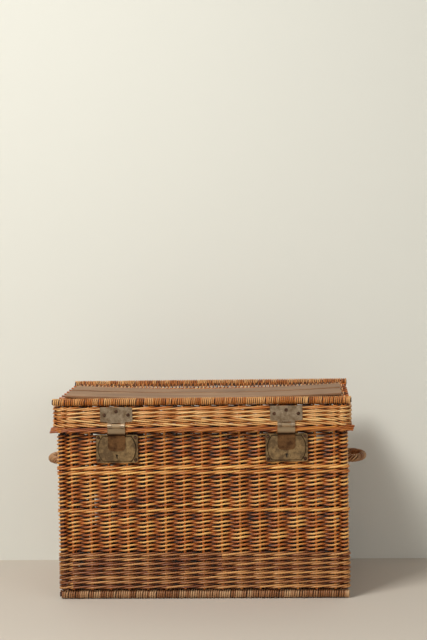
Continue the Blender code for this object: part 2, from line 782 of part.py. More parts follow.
def make_handles():
    for side, _ in PAIR:
        frame = side_frame(side)
        core = place(tubes([handle_path(INNER_FACE + GAP)], HANDLE_CORE_RADIUS, sides=8), frame)
        wrap = place(tubes([handle_path(GAP)], HANDLE_RADIUS, sides=10), frame)
        bore = place(tubes([handle_path(-GAP)], HANDLE_CORE_RADIUS + GAP, sides=8), frame)
        cut(wrap, bore, f"{side}_handle_bore")
        finish(core, f"{side}_handle_core", "stake_willow")
        finish(wrap, f"{side}_handle_wrap", "wicker")


# ---------------------------------------------------------------- hardware

def tee_rivet_places():
    z = TEE_Z + TEE_RIVET_Z
    return [(-TEE_RIVET_X, z), (0, z + TEE_RIVET_LIFT), (TEE_RIVET_X, z)]


def lock_rivet_places():
    return [(sx * LOCK_RIVET_X, LOCK_Z + sz * LOCK_RIVET_Z) for sx in (-1, 1) for sz in (-1, 1)]


def body_leaf_middle():
    return HINGE_AXIS_Z - BODY_LEAF_TOP_DROP - BODY_LEAF_HEIGHT / 2


def body_leaf_rivet_places():
    z = body_leaf_middle() + BODY_LEAF_RIVET_RISE / 2
    return [(-BODY_LEAF_RIVET_X, z), (BODY_LEAF_RIVET_X, z), (0, z - BODY_LEAF_RIVET_RISE)]


def rivet_profile(foot, head):
    """A rivet from its foot to the underside of its domed head, as (radius, out)."""
    dome = [(RIVET_HEAD_RADIUS * math.cos(a), head + RIVET_HEAD_HEIGHT * math.sin(a))
            for a in (math.radians(angle) for angle in (0, 45))]
    return [(0, foot), (RIVET_RADIUS, foot), (RIVET_RADIUS, head), *dome,
            (0, head + RIVET_HEAD_HEIGHT)]


def riveted_strap(outline, back, places, head, name, frame, origin=None):
    """A backing strap inside the wicker with its rivets, whose heads lie on the outside."""
    strap = slab([outline], back - STRAP_SHEET, back, FACE)
    rivet = turned(rivet_profile(back - STRAP_SHEET / 2, head))
    rivets = copies(rivet, [Matrix.Translation((x, 0, z)) @ FACE for x, z in places])
    place(strap, frame)
    join(strap, place(rivets, frame), f"{name}_studs")
    return finish(strap, name, "aged_brass", origin)


def tee_plate():
    """The T-shaped plate of a hasp or a lid hinge, without its knuckles."""
    half, neck, low = TEE_WIDTH / 2, STRAP_WIDTH / 2, TEE_Z - TEE_NECK_DROP
    top = TEE_Z + TEE_HEIGHT
    points = [(-neck, low), (neck, low), (neck, TEE_Z - TEE_SHOULDER)]
    points += arc((half - PLATE_CORNER, TEE_Z + PLATE_CORNER), PLATE_CORNER, -math.pi / 2, 0, 3)
    points += arc((half - PLATE_CORNER, top - PLATE_CORNER), PLATE_CORNER, 0, math.pi / 2, 3)
    points += [(-x, z) for x, z in reversed(points[2:])]
    plate = slab([points], TEE_FACE, TEE_FACE + SHEET, FACE, SHEET_EDGE)
    holes = rivet_holes(Matrix(), tee_rivet_places(), 0, CUT_REACH)
    return plate, holes


def outer_knuckles(outline, axis):
    """The two outer knuckles of a leaf, in one mesh."""
    outside = STRAP_WIDTH / 2 - 2 * JOIN_STEP
    width = outside - MIDDLE_KNUCKLE / 2 - KNUCKLE_GAP
    middle = outside - width / 2
    hole = circle(axis, PIN_RADIUS + GAP, PIN_SIDES)
    return section([outline, hole], width, x=-middle), section([outline, hole], width, x=middle)


def middle_knuckle(outline, axis):
    return section([outline, circle(axis, PIN_RADIUS + GAP, PIN_SIDES)], MIDDLE_KNUCKLE)


def axis_pin(out, z):
    half = STRAP_WIDTH / 2
    return tubes([[(-half, -out, z), (half, -out, z)]], PIN_RADIUS, sides=PIN_SIDES)


def make_hasps(lid_origin):
    axis = (-HASP_AXIS_OUT, HASP_AXIS_Z)
    for hand, sign in PAIR:
        frame = side_frame("front", sign * HARDWARE_X)
        origin = frame @ Vector((0, axis[0], axis[1]))
        plate, holes = tee_plate()
        place(plate, frame)
        cut(plate, place(holes, frame), f"{hand}_hasp_plate_holes")
        curl = knuckle(axis, 1, 1, TEE_Z - HASP_CURL_DROP)
        for i, ring in enumerate(outer_knuckles(curl, axis)):
            join(plate, place(ring, frame), f"{hand}_hasp_knuckle_{i}")
        finish(plate, f"{hand}_hasp_plate", "aged_brass", lid_origin)
        finish(place(axis_pin(HASP_AXIS_OUT, HASP_AXIS_Z), frame), f"{hand}_hasp_pin",
               "dark_steel", lid_origin)
        strap_z = TEE_Z + TEE_HEIGHT - BACK_STRAP_HEIGHT / 2 - BACK_STRAP_DROP
        outline = rounded_rectangle(BACK_STRAP_WIDTH / 2, BACK_STRAP_HEIGHT / 2, PLATE_CORNER,
                                    centre=(0, strap_z))
        riveted_strap(outline, SKIRT_BACK - GAP, tee_rivet_places(), TEE_FACE + SHEET + GAP,
                      f"{hand}_hasp_rivet_strap", frame, lid_origin)
        make_tongue(hand, frame, axis, origin)


def make_tongue(hand, frame, axis, origin):
    """The swinging strap of a hasp, with the staple on its back."""
    over, flat = -STRAP_FACE - SHEET / 2, -TONGUE_FACE - SHEET / 2
    step_z = LID_EDGE_Z - GAP
    top = LID_BORDER_TOP - GAP
    bend = strip([(over, top), (over, step_z - STRAP_BEND / 3), (flat, step_z - TONGUE_STEP),
                  (flat, TONGUE_TIP_Z - TONGUE_POINT)], SHEET)
    tongue = section([bend], STRAP_WIDTH, SHEET_EDGE)
    half, low = STRAP_WIDTH / 2, TONGUE_TIP_Z
    shape = [(-half - CUT_REACH, HASP_AXIS_Z), (-half - CUT_REACH, low + TONGUE_CORNER)]
    shape += [(x, z) for x, z in arc((-half + TONGUE_CORNER, low + TONGUE_CORNER), TONGUE_CORNER,
                                     math.pi, 1.5 * math.pi, 4)]
    shape += [(0, low - TONGUE_POINT)]
    shape += [(-x, z) for x, z in reversed(shape[:-1])]
    keep(tongue, slab([shape], -CUT_REACH, 2 * CUT_REACH, FACE), f"{hand}_tongue_shape")
    thin = SHEET / 2 - JOIN_STEP
    throat = rectangle((over - thin, top - 2 * SHEET), (over + thin, axis[1] - PIN_RADIUS - thin))
    join(tongue, section([throat], MIDDLE_KNUCKLE - 2 * JOIN_STEP), f"{hand}_tongue_throat")
    ring = section([circle(axis, BARREL_RADIUS, BARREL_SIDES), circle(axis, PIN_RADIUS + GAP, PIN_SIDES)],
                   MIDDLE_KNUCKLE)
    join(tongue, ring, f"{hand}_tongue_ring")
    root, tip, bar = -TONGUE_FACE - SHEET / 2, -STAPLE_END, STAPLE_BAR
    low, high = STAPLE_Z - STAPLE_HEIGHT / 2, STAPLE_Z + STAPLE_HEIGHT / 2
    staple = [(root, low), (tip, low), (tip, high), (root, high), (root, high - bar),
              (tip - STAPLE_TIP, high - bar), (tip - STAPLE_TIP, low + bar), (root, low + bar)]
    join(tongue, section([staple], STAPLE_WIDTH), f"{hand}_tongue_staple")
    for piece in (tongue, *(m.object for m in tongue.modifiers)):
        place(piece, frame)
    return finish(tongue, f"{hand}_hasp_tongue", "aged_brass", origin)


def make_hinges(lid_origin):
    axis = (-HINGE_AXIS_OUT, HINGE_AXIS_Z)
    for hand, sign in PAIR:
        frame = side_frame("back", -sign * HARDWARE_X)
        plate, holes = tee_plate()
        place(plate, frame)
        cut(plate, place(holes, frame), f"{hand}_lid_leaf_holes")
        face, over = -TEE_FACE - SHEET / 2, -STRAP_FACE - SHEET / 2
        bend = strip([(face, TEE_Z), (face, LID_BORDER_TOP + HINGE_BEND_RISE),
                      (over, LID_BORDER_TOP + SHEET / 2), (over, LID_EDGE_Z)],
                     SHEET - 4 * JOIN_STEP)
        bend = section([bend], STRAP_WIDTH - 2 * JOIN_STEP)
        join(plate, place(bend, frame), f"{hand}_lid_leaf_bend")
        curl = knuckle(axis, -1, 1, LID_EDGE_Z + SHEET)
        for i, ring in enumerate(outer_knuckles(curl, axis)):
            join(plate, place(ring, frame), f"{hand}_lid_leaf_knuckle_{i}")
        finish(plate, f"{hand}_hinge_lid_leaf", "aged_brass", lid_origin)
        pin = place(axis_pin(HINGE_AXIS_OUT, HINGE_AXIS_Z), frame)
        finish(pin, f"{hand}_hinge_pin", "dark_steel")
        strap_z = TEE_Z + TEE_HEIGHT - BACK_STRAP_HEIGHT / 2 - BACK_STRAP_DROP
        outline = rounded_rectangle(BACK_STRAP_WIDTH / 2, BACK_STRAP_HEIGHT / 2, PLATE_CORNER,
                                    centre=(0, strap_z))
        riveted_strap(outline, SKIRT_BACK - GAP, tee_rivet_places(), TEE_FACE + SHEET + GAP,
                      f"{hand}_hinge_lid_rivet_strap", frame, lid_origin)
        make_body_leaf(hand, frame, axis)


def make_body_leaf(hand, frame, axis):
    """The lower leaf of a lid hinge, cranked in from the barrel to the back wall."""
    flat = -GAP - SHEET / 2
    drop = axis[0] + BARREL_RADIUS - SHEET / 2
    leaf_top = HINGE_AXIS_Z - BODY_LEAF_TOP_DROP
    middle = (0, body_leaf_middle())
    outline = rounded_rectangle(BODY_LEAF_WIDTH / 2, BODY_LEAF_HEIGHT / 2, PLATE_CORNER,
                                centre=middle)
    leaf = place(slab([outline], GAP, GAP + SHEET, FACE, SHEET_EDGE), frame)
    holes = rivet_holes(frame, body_leaf_rivet_places(), 0, CUT_REACH)
    cut(leaf, holes, f"{hand}_body_leaf_holes")
    knee = HINGE_AXIS_Z - BARREL_RADIUS
    bend = strip([(drop, knee + SHEET), (drop, knee - SHEET), (flat, leaf_top + SHEET),
                  (flat, leaf_top - 2 * SHEET)], SHEET - 4 * JOIN_STEP)
    bend = section([bend], MIDDLE_KNUCKLE - 2 * JOIN_STEP)
    join(leaf, place(bend, frame), f"{hand}_body_leaf_bend")
    curl = knuckle(axis, 1, -1, knee)
    join(leaf, place(middle_knuckle(curl, axis), frame), f"{hand}_body_leaf_knuckle")
    finish(leaf, f"{hand}_hinge_body_leaf", "aged_brass")
    riveted_strap(outline, INNER_FACE - GAP, body_leaf_rivet_places(), 2 * GAP + SHEET,
                  f"{hand}_hinge_body_rivet_strap", frame)


# ---------------------------------------------------------------- locks

def lock_outline(trim=0.0):
    """The lock's rectangle, trimmed at its top and bottom."""
    return rounded_rectangle(LOCK_WIDTH / 2, LOCK_HEIGHT / 2 - trim, LOCK_CORNER,
                             centre=(0, LOCK_Z))


def make_lock_plate(hand, frame):
    """The outer plate of a lock: a riveted flange with a raised round box."""
    middle = (0, LOCK_Z)
    plate = slab([lock_outline()], LOCK_FLANGE, LOCK_FLANGE + LOCK_SHEET, FACE, SHEET_EDGE)
    boss = slab([clipped_circle(BOSS_RADIUS, BOSS_FLAT, middle)], LOCK_FLANGE + JOIN_STEP,
                BOSS_FACE, FACE, BOSS_EDGE)
    inner = clipped_circle(BOSS_RADIUS - LOCK_SHEET, BOSS_FLAT - LOCK_SHEET, middle)
    cavity = slab([inner], -GAP, CAVITY_FACE, FACE)
    half = STAPLE_WIDTH / 2 + STAPLE_SIDE_GAP
    low = STAPLE_Z - STAPLE_HEIGHT / 2 - STAPLE_SWING_ROOM
    slot = slab([rectangle((-half, low), (half, LID_EDGE_Z))], -GAP, CUT_REACH, FACE)
    slit = KEYHOLE_SLOT_WIDTH / 2
    eye = math.asin(slit / KEYHOLE_RADIUS)
    key = arc((0, KEY_Z), KEYHOLE_RADIUS, eye - math.pi / 2, 1.5 * math.pi - eye, 12)
    key += [(-slit, KEY_Z - KEYHOLE_SLOT_LENGTH), (slit, KEY_Z - KEYHOLE_SLOT_LENGTH)]
    keyhole = slab([key], -GAP, CUT_REACH, FACE)
    holes = rivet_holes(Matrix(), lock_rivet_places(), 0, CUT_REACH)
    join(plate, place(boss, frame), f"{hand}_lock_boss")
    for piece, name in ((cavity, "cavity"), (slot, "staple_slot"), (keyhole, "keyhole"),
                        (holes, "rivet_holes")):
        cut(plate, place(piece, frame), f"{hand}_lock_{name}", "MANIFOLD")
    finish(place(plate, frame), f"{hand}_lock_plate", "aged_brass")


def make_lock_back(hand, frame):
    back = slab([lock_outline(), circle((0, KEY_Z), PIN_RADIUS + GAP, PIN_SIDES)], LOCK_BACK,
                LOCK_BACK + LOCK_BACK_SHEET, FACE)
    holes = rivet_holes(Matrix(), lock_rivet_places(), -GAP, CUT_REACH)
    cut(place(back, frame), place(holes, frame), f"{hand}_lock_back_holes")
    finish(back, f"{hand}_lock_back_plate", "dark_steel")


def make_bolt(hand, frame):
    """The sliding bolt, drawn back: its bar stops short of the staple, its fork holds the crank."""
    tip = -STAPLE_WIDTH / 2 - STAPLE_SIDE_GAP - FORK_GAP
    back = tip - BOLT_TAIL
    inner = -STAPLE_WIDTH / 2 - STAPLE_SIDE_GAP - BOLT_TRAVEL
    low, high = STAPLE_Z - BOLT_HEIGHT / 2, STAPLE_Z + BOLT_HEIGHT / 2
    arm_low = KEY_Z + CRANK_Z - CRANK_PIN_RADIUS - FORK_GAP
    arm_high = arm_low + BOLT_ARM_HEIGHT
    fork = CRANK_PIN_RADIUS + FORK_GAP
    end = BOLT_ARM_END - CRANK_X
    outline = [(tip, low), (tip, high), (back, high), (back, arm_low), (-CRANK_X - fork, arm_low),
               (-CRANK_X - fork, arm_low + FORK_DEPTH), (fork - CRANK_X, arm_low + FORK_DEPTH),
               (fork - CRANK_X, arm_low), (end, arm_low), (end, arm_high), (inner, arm_high),
               (inner, low)]
    bolt = slab([outline], BOLT_OUT, BOLT_OUT + BOLT_SHEET, FACE)
    origin = frame @ Vector((0, -BOLT_OUT, STAPLE_Z))
    finish(place(bolt, frame), f"{hand}_lock_bolt", "dark_steel", origin)


def make_key_cam(hand, frame):
    """The disc that the key turns. Its crank pin pushes the bolt."""
    axis = (0, KEY_Z)
    half, reach = KEYWAY_WIDTH / 2, KEYWAY_LENGTH / 2
    keyway = rectangle((-half, KEY_Z - reach), (half, KEY_Z + reach))
    cam = slab([circle(axis, CAM_RADIUS, CAM_SIDES), keyway], CAM_OUT, CAM_OUT + CAM_SHEET, FACE)
    pin = slab([circle((-CRANK_X, KEY_Z + CRANK_Z), CRANK_PIN_RADIUS, PIN_SIDES)],
               CAM_OUT + CAM_SHEET / 2, BOLT_OUT + BOLT_SHEET, FACE)
    hub = slab([circle(axis, PIN_RADIUS, PIN_SIDES)], LOCK_BACK, CAM_OUT + CAM_SHEET / 4, FACE)
    join(place(cam, frame), place(pin, frame), f"{hand}_cam_pin")
    join(cam, place(hub, frame), f"{hand}_cam_hub")
    finish(cam, f"{hand}_lock_key_cam", "dark_steel", frame @ Vector((0, -CAM_OUT, KEY_Z)))


def make_locks():
    for hand, sign in PAIR:
        frame = side_frame("front", sign * HARDWARE_X)
        make_lock_plate(hand, frame)
        make_lock_back(hand, frame)
        make_bolt(hand, frame)
        make_key_cam(hand, frame)
        riveted_strap(lock_outline(COLLAR_STEP + GAP), INNER_FACE - GAP, lock_rivet_places(),
                      LOCK_FLANGE + LOCK_SHEET + GAP, f"{hand}_lock_rivet_plate", frame)


clear_scene()
PARTS = collection("wicker_trunk")
HELPERS = collection("helpers", hidden=True)
BASKET = bpy.data.objects.new("basket_middle", None)
BASKET.location = (0, BODY_Y, 0)
PARTS.objects.link(BASKET)

LID_ORIGIN = side_frame("back") @ Vector((0, -HINGE_AXIS_OUT, HINGE_AXIS_Z))
make_base()
make_body_walls()
make_corner_posts()
make_handles()
make_locks()
make_hinges(LID_ORIGIN)
make_lid_top(LID_ORIGIN)
make_lid_skirt(LID_ORIGIN)
make_slats(LID_ORIGIN)
make_hasps(LID_ORIGIN)
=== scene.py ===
# %% [markdown]
# # A willow trunk with a cap lid
#
# The trunk is woven from willow rods round upright stakes, with brass hasps, locks and hinges.
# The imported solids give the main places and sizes. Here the plain woven solids are replaced
# by rods that really pass in front of and behind their stakes, and the metal gets its patina.

# %% Load the solids
import math

import bmesh
import bpy
import numpy as np
from mathutils import Matrix, Vector
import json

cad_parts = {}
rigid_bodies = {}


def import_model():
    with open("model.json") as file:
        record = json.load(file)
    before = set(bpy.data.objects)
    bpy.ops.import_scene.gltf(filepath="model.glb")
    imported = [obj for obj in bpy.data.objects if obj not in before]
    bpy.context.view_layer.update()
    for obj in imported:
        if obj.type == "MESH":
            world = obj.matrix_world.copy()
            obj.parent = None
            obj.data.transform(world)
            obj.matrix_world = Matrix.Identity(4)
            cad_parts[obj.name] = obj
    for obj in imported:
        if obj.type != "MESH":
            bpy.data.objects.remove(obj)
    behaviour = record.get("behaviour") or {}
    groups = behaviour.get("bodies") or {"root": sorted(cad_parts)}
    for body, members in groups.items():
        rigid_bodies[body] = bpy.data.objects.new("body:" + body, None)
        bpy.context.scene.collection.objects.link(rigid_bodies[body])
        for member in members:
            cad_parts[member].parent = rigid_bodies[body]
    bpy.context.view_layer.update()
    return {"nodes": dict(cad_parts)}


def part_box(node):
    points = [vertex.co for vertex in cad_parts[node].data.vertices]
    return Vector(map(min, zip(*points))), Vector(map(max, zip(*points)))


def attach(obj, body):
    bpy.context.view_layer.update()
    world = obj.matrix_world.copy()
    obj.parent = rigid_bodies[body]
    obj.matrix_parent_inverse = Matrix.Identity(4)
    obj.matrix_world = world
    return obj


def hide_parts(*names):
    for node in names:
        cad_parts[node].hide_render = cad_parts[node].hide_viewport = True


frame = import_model()
NODES = frame["nodes"]

# %% [markdown]
# ## Camera and room
#
# The camera comes first, so that each later piece can be judged from the same place. It stands
# about four and a half metres in front, a little to the right, with a long lens that looks
# slightly down. A lens shift could do the same, but turning the camera keeps every other view
# in the middle.

# %% Camera
CAMERA_PLACE = Vector((0.256, -4.472, 0.9936))
LOOK_LEFT, LOOK_DOWN, ROLL = 2.975, 3.74, 0.9
LENS, SENSOR = 94.8, 36.0

lens = bpy.data.cameras.new("studio_camera")
lens.sensor_fit = "AUTO"
lens.sensor_width = SENSOR
lens.lens = LENS
camera = bpy.data.objects.new("studio_camera", lens)
bpy.context.scene.collection.objects.link(camera)
aim = (Matrix.Rotation(math.radians(LOOK_LEFT), 4, "Z")
       @ Matrix.Rotation(math.radians(90 - LOOK_DOWN), 4, "X")
       @ Matrix.Rotation(math.radians(-ROLL), 4, "Z"))
camera.matrix_world = Matrix.Translation(CAMERA_PLACE) @ aim
bpy.context.scene.camera = camera
bpy.context.scene.view_settings.view_transform = "Standard"
print("camera", tuple(round(v, 3) for v in camera.matrix_world.translation))


# %% [markdown]
# ## Shader maths
#
# A pattern is easier to read as a formula than as a picture of nodes. This class wraps a
# socket, and each operator adds one Math node. Any other node comes from one method.

# %% A small language for shaders
class Wire:
    def __init__(self, tree, socket):
        self.tree = tree
        self.socket = socket

    def math(self, operation, a, b=None):
        node = self.tree.nodes.new("ShaderNodeMath")
        node.operation = operation
        for slot, value in zip(node.inputs, (a, b)):
            if isinstance(value, Wire):
                self.tree.links.new(value.socket, slot)
            elif value is not None:
                slot.default_value = value
        return Wire(self.tree, node.outputs[0])

    def __add__(self, other):
        return self.math("ADD", self, other)

    def __sub__(self, other):
        return self.math("SUBTRACT", self, other)

    def __rsub__(self, other):
        return self.math("SUBTRACT", other, self)

    def __mul__(self, other):
        return self.math("MULTIPLY", self, other)

    def __pow__(self, other):
        return self.math("POWER", self, other)

    __radd__ = __add__
    __rmul__ = __mul__

    def clamp(self):
        return self.math("MINIMUM", self.math("MAXIMUM", self, 0.0), 1.0)

    def between(self, low, high):
        """0 below low, 1 above high, and even in between."""
        return ((self - low) * (1 / (high - low))).clamp()


class Finish:
    """A material under construction: its tree, and the one method that adds any node."""

    def __init__(self, name):
        self.material = bpy.data.materials.new(name)
        self.material.use_nodes = True
        self.tree = self.material.node_tree
        self.shader = self.tree.nodes["Principled BSDF"]

    def node(self, kind, out=0, settings=None, **values):
        made = self.tree.nodes.new(kind)
        for key, value in (settings or {}).items():
            setattr(made, key, value)
        for key, value in values.items():
            self.plug(made.inputs[key.replace("_", " ")], value)
        return Wire(self.tree, made.outputs[out])

    def plug(self, slot, value):
        if isinstance(value, Wire):
            self.tree.links.new(value.socket, slot)
        else:
            slot.default_value = value

    def ramp(self, factor, stops):
        made = self.tree.nodes.new("ShaderNodeValToRGB")
        band = made.color_ramp
        while len(band.elements) < len(stops):
            band.elements.new(0.5)
        for element, (position, colour) in zip(band.elements, stops):
            element.position = position
            element.color = (*colour, 1.0)
        self.plug(made.inputs[0], factor)
        return Wire(self.tree, made.outputs[0])

    def mix(self, factor, a, b):
        made = self.tree.nodes.new("ShaderNodeMix")
        made.data_type = "RGBA"
        self.plug(made.inputs[0], factor)
        self.plug(made.inputs[6], a if isinstance(a, Wire) else (*a, 1.0))
        self.plug(made.inputs[7], b if isinstance(b, Wire) else (*b, 1.0))
        return Wire(self.tree, made.outputs[2])

    def noise(self, vector, scale, detail=2.0, roughness=0.5):
        return self.node("ShaderNodeTexNoise", Vector=vector, Scale=scale, Detail=detail,
                         Roughness=roughness)

    def place(self, scale=(1, 1, 1)):
        spot = self.node("ShaderNodeTexCoord", out=3)
        return self.node("ShaderNodeMapping", Vector=spot, Scale=scale)

    def bump(self, height, strength, distance):
        self.plug(self.shader.inputs["Normal"],
                  self.node("ShaderNodeBump", Height=height, Strength=strength,
                            Distance=distance))

    def set(self, **values):
        for key, value in values.items():
            self.plug(self.shader.inputs[key.replace("_", " ")], value)
        return self


def srgb(red, green, blue):
    """A screen colour of 0 to 255 as the linear colour a shader works in."""
    return tuple(((c / 255 + 0.055) / 1.055) ** 2.4 if c > 10 else c / 255 / 12.92
                 for c in (red, green, blue))


print("highlight straw in linear light:", [round(c, 3) for c in srgb(222, 196, 147)])

# %% [markdown]
# ## Willow
#
# Old varnished willow isn't one colour. Each rod has its own tone and dark streaks run along it.
# It is also painted darker where it lies further back, as behind a stake: painted shade, with
# some of the varnish and dust that gather there. Every rod carries these facts as an attribute,
# rod_facts: its own chance number, how far forward it lies, and how far along it is, so that the
# streaks follow the rod round every bend.

# %% Willow finish
def willow(name, dark, middle, light, tone=0.5, sheen=0.3):
    made = Finish(name)
    facts = made.node("ShaderNodeAttribute", out=0, settings={"attribute_name": "rod_facts"})
    split = made.tree.nodes.new("ShaderNodeSeparateColor")
    made.plug(split.inputs[0], facts)
    chance, front, along = (Wire(made.tree, split.outputs[i]) for i in range(3))
    around = made.node("ShaderNodeUVMap", settings={"uv_map": "UVMap"})
    parts = made.tree.nodes.new("ShaderNodeSeparateXYZ")
    made.plug(parts.inputs[0], around)
    turn = Wire(made.tree, parts.outputs[1]) * (2 * math.pi)
    across_x = turn.math("SINE", turn)
    across_y = turn.math("COSINE", turn)
    grain = made.node("ShaderNodeCombineXYZ", X=along * 22.0, Y=across_x * 1.6 + chance * 60.0,
                      Z=across_y * 1.6)
    streak = made.noise(grain, 1.0, detail=4.0, roughness=0.65)
    stretch = made.node("ShaderNodeCombineXYZ", X=along * 9.0, Y=chance * 90.0, Z=0.0)
    blotch = made.noise(stretch, 1.0, detail=1.0)
    cloud = made.noise(made.place(), 7.0, detail=2.0)
    # The term with front is painted shade, with some varnish and dust: a rod darkens where it lies
    # back.
    value = (tone + (chance - 0.5) * 0.42 + (streak - 0.5) * 0.75 + (blotch - 0.5) * 0.55
             + (cloud - 0.5) * 0.35 + (front - 0.78) * 0.9)
    colour = made.ramp(value.clamp(), [(0.0, dark), (0.42, middle), (0.95, light)])
    knots = made.noise(grain, 2.3, detail=1.0).between(0.70, 0.78)
    colour = made.mix(knots * 0.6, colour, dark)
    rough = 0.36 + (streak * 0.22) + (1 - front) * 0.25
    fine = made.node("ShaderNodeCombineXYZ", X=along * 60.0, Y=across_x * 5.0 + chance * 60.0,
                     Z=across_y * 5.0)
    made.bump(made.noise(fine, 1.0, detail=3.0), 0.35, 0.0006)
    made.set(Base_Color=colour, Roughness=rough, Coat_Weight=sheen, Coat_Roughness=0.25)
    return made.material


WILLOW = willow("varnished_willow", srgb(28, 7, 0), srgb(180, 94, 14), srgb(246, 190, 104),
                tone=0.49)
LOW_WILLOW = willow("darkened_willow", srgb(18, 5, 0), srgb(132, 66, 12),
                    srgb(224, 164, 94), tone=0.44)
GREY_WILLOW = willow("weathered_willow", srgb(28, 16, 9), srgb(150, 94, 50),
                     srgb(214, 174, 128), tone=0.54, sheen=0.1)
RIM_WILLOW = willow("rim_willow", srgb(44, 14, 0), srgb(190, 108, 28), srgb(242, 196, 128),
                    tone=0.48, sheen=0.2)
# A darker copy of the willow: painted shade on the lid's lower border and its corner ends.
SHADED_BORDER_WILLOW = willow("shaded_border_willow", srgb(26, 7, 0), srgb(146, 70, 6),
                       srgb(214, 138, 50), tone=0.43, sheen=0.2)
STAKE_WILLOW = willow("stake_willow", srgb(64, 22, 2), srgb(206, 108, 18), srgb(232, 154, 60),
                      tone=0.6)
HANDLE_WILLOW = willow("handle_willow", srgb(24, 12, 4), srgb(150, 98, 54),
                       srgb(206, 164, 116), tone=0.52, sheen=0.1)
# Nearly black: painted shade for the handle cores, seen between the rope strands.
SHADED_CORE_WILLOW = willow("shaded_core_willow", srgb(8, 4, 2), srgb(34, 18, 8), srgb(70, 42, 22), sheen=0.0)
print("willow finishes made")

# %% [markdown]
# ## Rods
#
# A rod is a round tube along a route. A curve with a round bevel makes it, tapers it by the
# radius of each point and closes its ends. Sweeping circles by hand would give the same tube
# with far more code. Many rods share one curve, and become one mesh.

# %% Rods from routes
SIDES = 8
CHANCE = np.random.default_rng(1907)


def finish_piece(obj, body, material, replaced):
    """Puts the finished mesh on its body, with its finish and the solids it stands for."""
    obj.data.materials.append(material)
    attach(obj, body)
    if replaced:
        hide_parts(*replaced)
    print(f"{obj.name}: {len(obj.data.polygons)} faces")


def rods(name, routes, body, material, replaced=(), sides=SIDES):
    """routes: a list of (points, radii, fronts, tone). Makes one piece of round rods."""
    curve = bpy.data.curves.new(name, "CURVE")
    curve.dimensions = "3D"
    curve.bevel_depth = 1.0
    curve.bevel_resolution = (sides - 4) // 2
    curve.use_fill_caps = True
    for points, radii, _, _ in routes:
        spline = curve.splines.new("POLY")
        spline.points.add(len(points) - 1)
        flat = np.concatenate([points, np.ones((len(points), 1))], axis=1)
        spline.points.foreach_set("co", flat.ravel())
        spline.points.foreach_set("radius", radii)
    guide = bpy.data.objects.new(name + "_guide", curve)
    bpy.context.scene.collection.objects.link(guide)
    graph = bpy.context.evaluated_depsgraph_get()
    mesh = bpy.data.meshes.new_from_object(guide.evaluated_get(graph))
    bpy.data.objects.remove(guide, do_unlink=True)
    facts = [rod_facts(points, fronts, tone) for points, _, fronts, tone in routes]
    ends = np.concatenate([np.repeat(f[[-1, 0]], sides, axis=0) for f in reversed(facts)])
    tubes = np.concatenate([np.repeat(f, sides, axis=0) for f in facts])
    layer = mesh.color_attributes.new("rod_facts", "FLOAT_COLOR", "POINT")
    layer.data.foreach_set("color", np.concatenate([ends, tubes]).astype(np.float32).ravel())
    tidy = bmesh.new()
    tidy.from_mesh(mesh)
    bmesh.ops.remove_doubles(tidy, verts=tidy.verts, dist=1e-6)
    bmesh.ops.recalc_face_normals(tidy, faces=tidy.faces)
    tidy.to_mesh(mesh)
    tidy.free()
    mesh.shade_smooth()
    mesh.set_sharp_from_angle(angle=math.radians(60))
    obj = bpy.data.objects.new(name, mesh)
    bpy.context.scene.collection.objects.link(obj)
    finish_piece(obj, body, material, replaced)


def rod_facts(points, fronts, tone):
    """Chance number, how far forward, distance along, and one spare, for each point."""
    steps = np.linalg.norm(np.diff(points, axis=0), axis=1)
    along = np.concatenate([[0.0], np.cumsum(steps)])
    count = len(points)
    return np.stack([np.full(count, tone), fronts, along, np.ones(count)], axis=1)


UNEVENNESS = 0.04


def taper(count, thick, thin):
    """The radius along a rod: from its butt to its tip, with a slight unevenness."""
    even = np.linspace(thick, thin, count)
    return even * (1 + UNEVENNESS * np.sin(np.linspace(0, CHANCE.uniform(5, 16), count)))


# %% [markdown]
# ## The line of a wall
#
# Weavers run round all four walls, so the middle line of the wall is one closed loop: a
# rectangle with small round corners. Each weaver is planned on that loop by counting stakes,
# and its place in the room comes from the loop afterwards.

# %% Sizes that come from the solids
HALF_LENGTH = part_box("right_wall_weave")[1].x
WALL_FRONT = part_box("front_wall_weave")[0].y
WALL_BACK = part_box("back_wall_weave")[1].y
MIDDLE_Y = (WALL_FRONT + WALL_BACK) / 2
HALF_DEPTH = (WALL_BACK - WALL_FRONT) / 2
WALL = 0.015
CORNER = 0.016
SPACING = 0.048
FRONT_COUNT, SIDE_COUNT = 15, 9
LID_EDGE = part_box("lid_front_stakes_and_border")[0].z
COLLAR_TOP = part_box("front_stakes_and_border")[1].z
LID_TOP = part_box("lid_top_weave")[1].z
LID_HALF_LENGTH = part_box("lid_top_weave")[1].x
print("half length", round(HALF_LENGTH, 4), "half depth", round(HALF_DEPTH, 4), "middle", MIDDLE_Y)


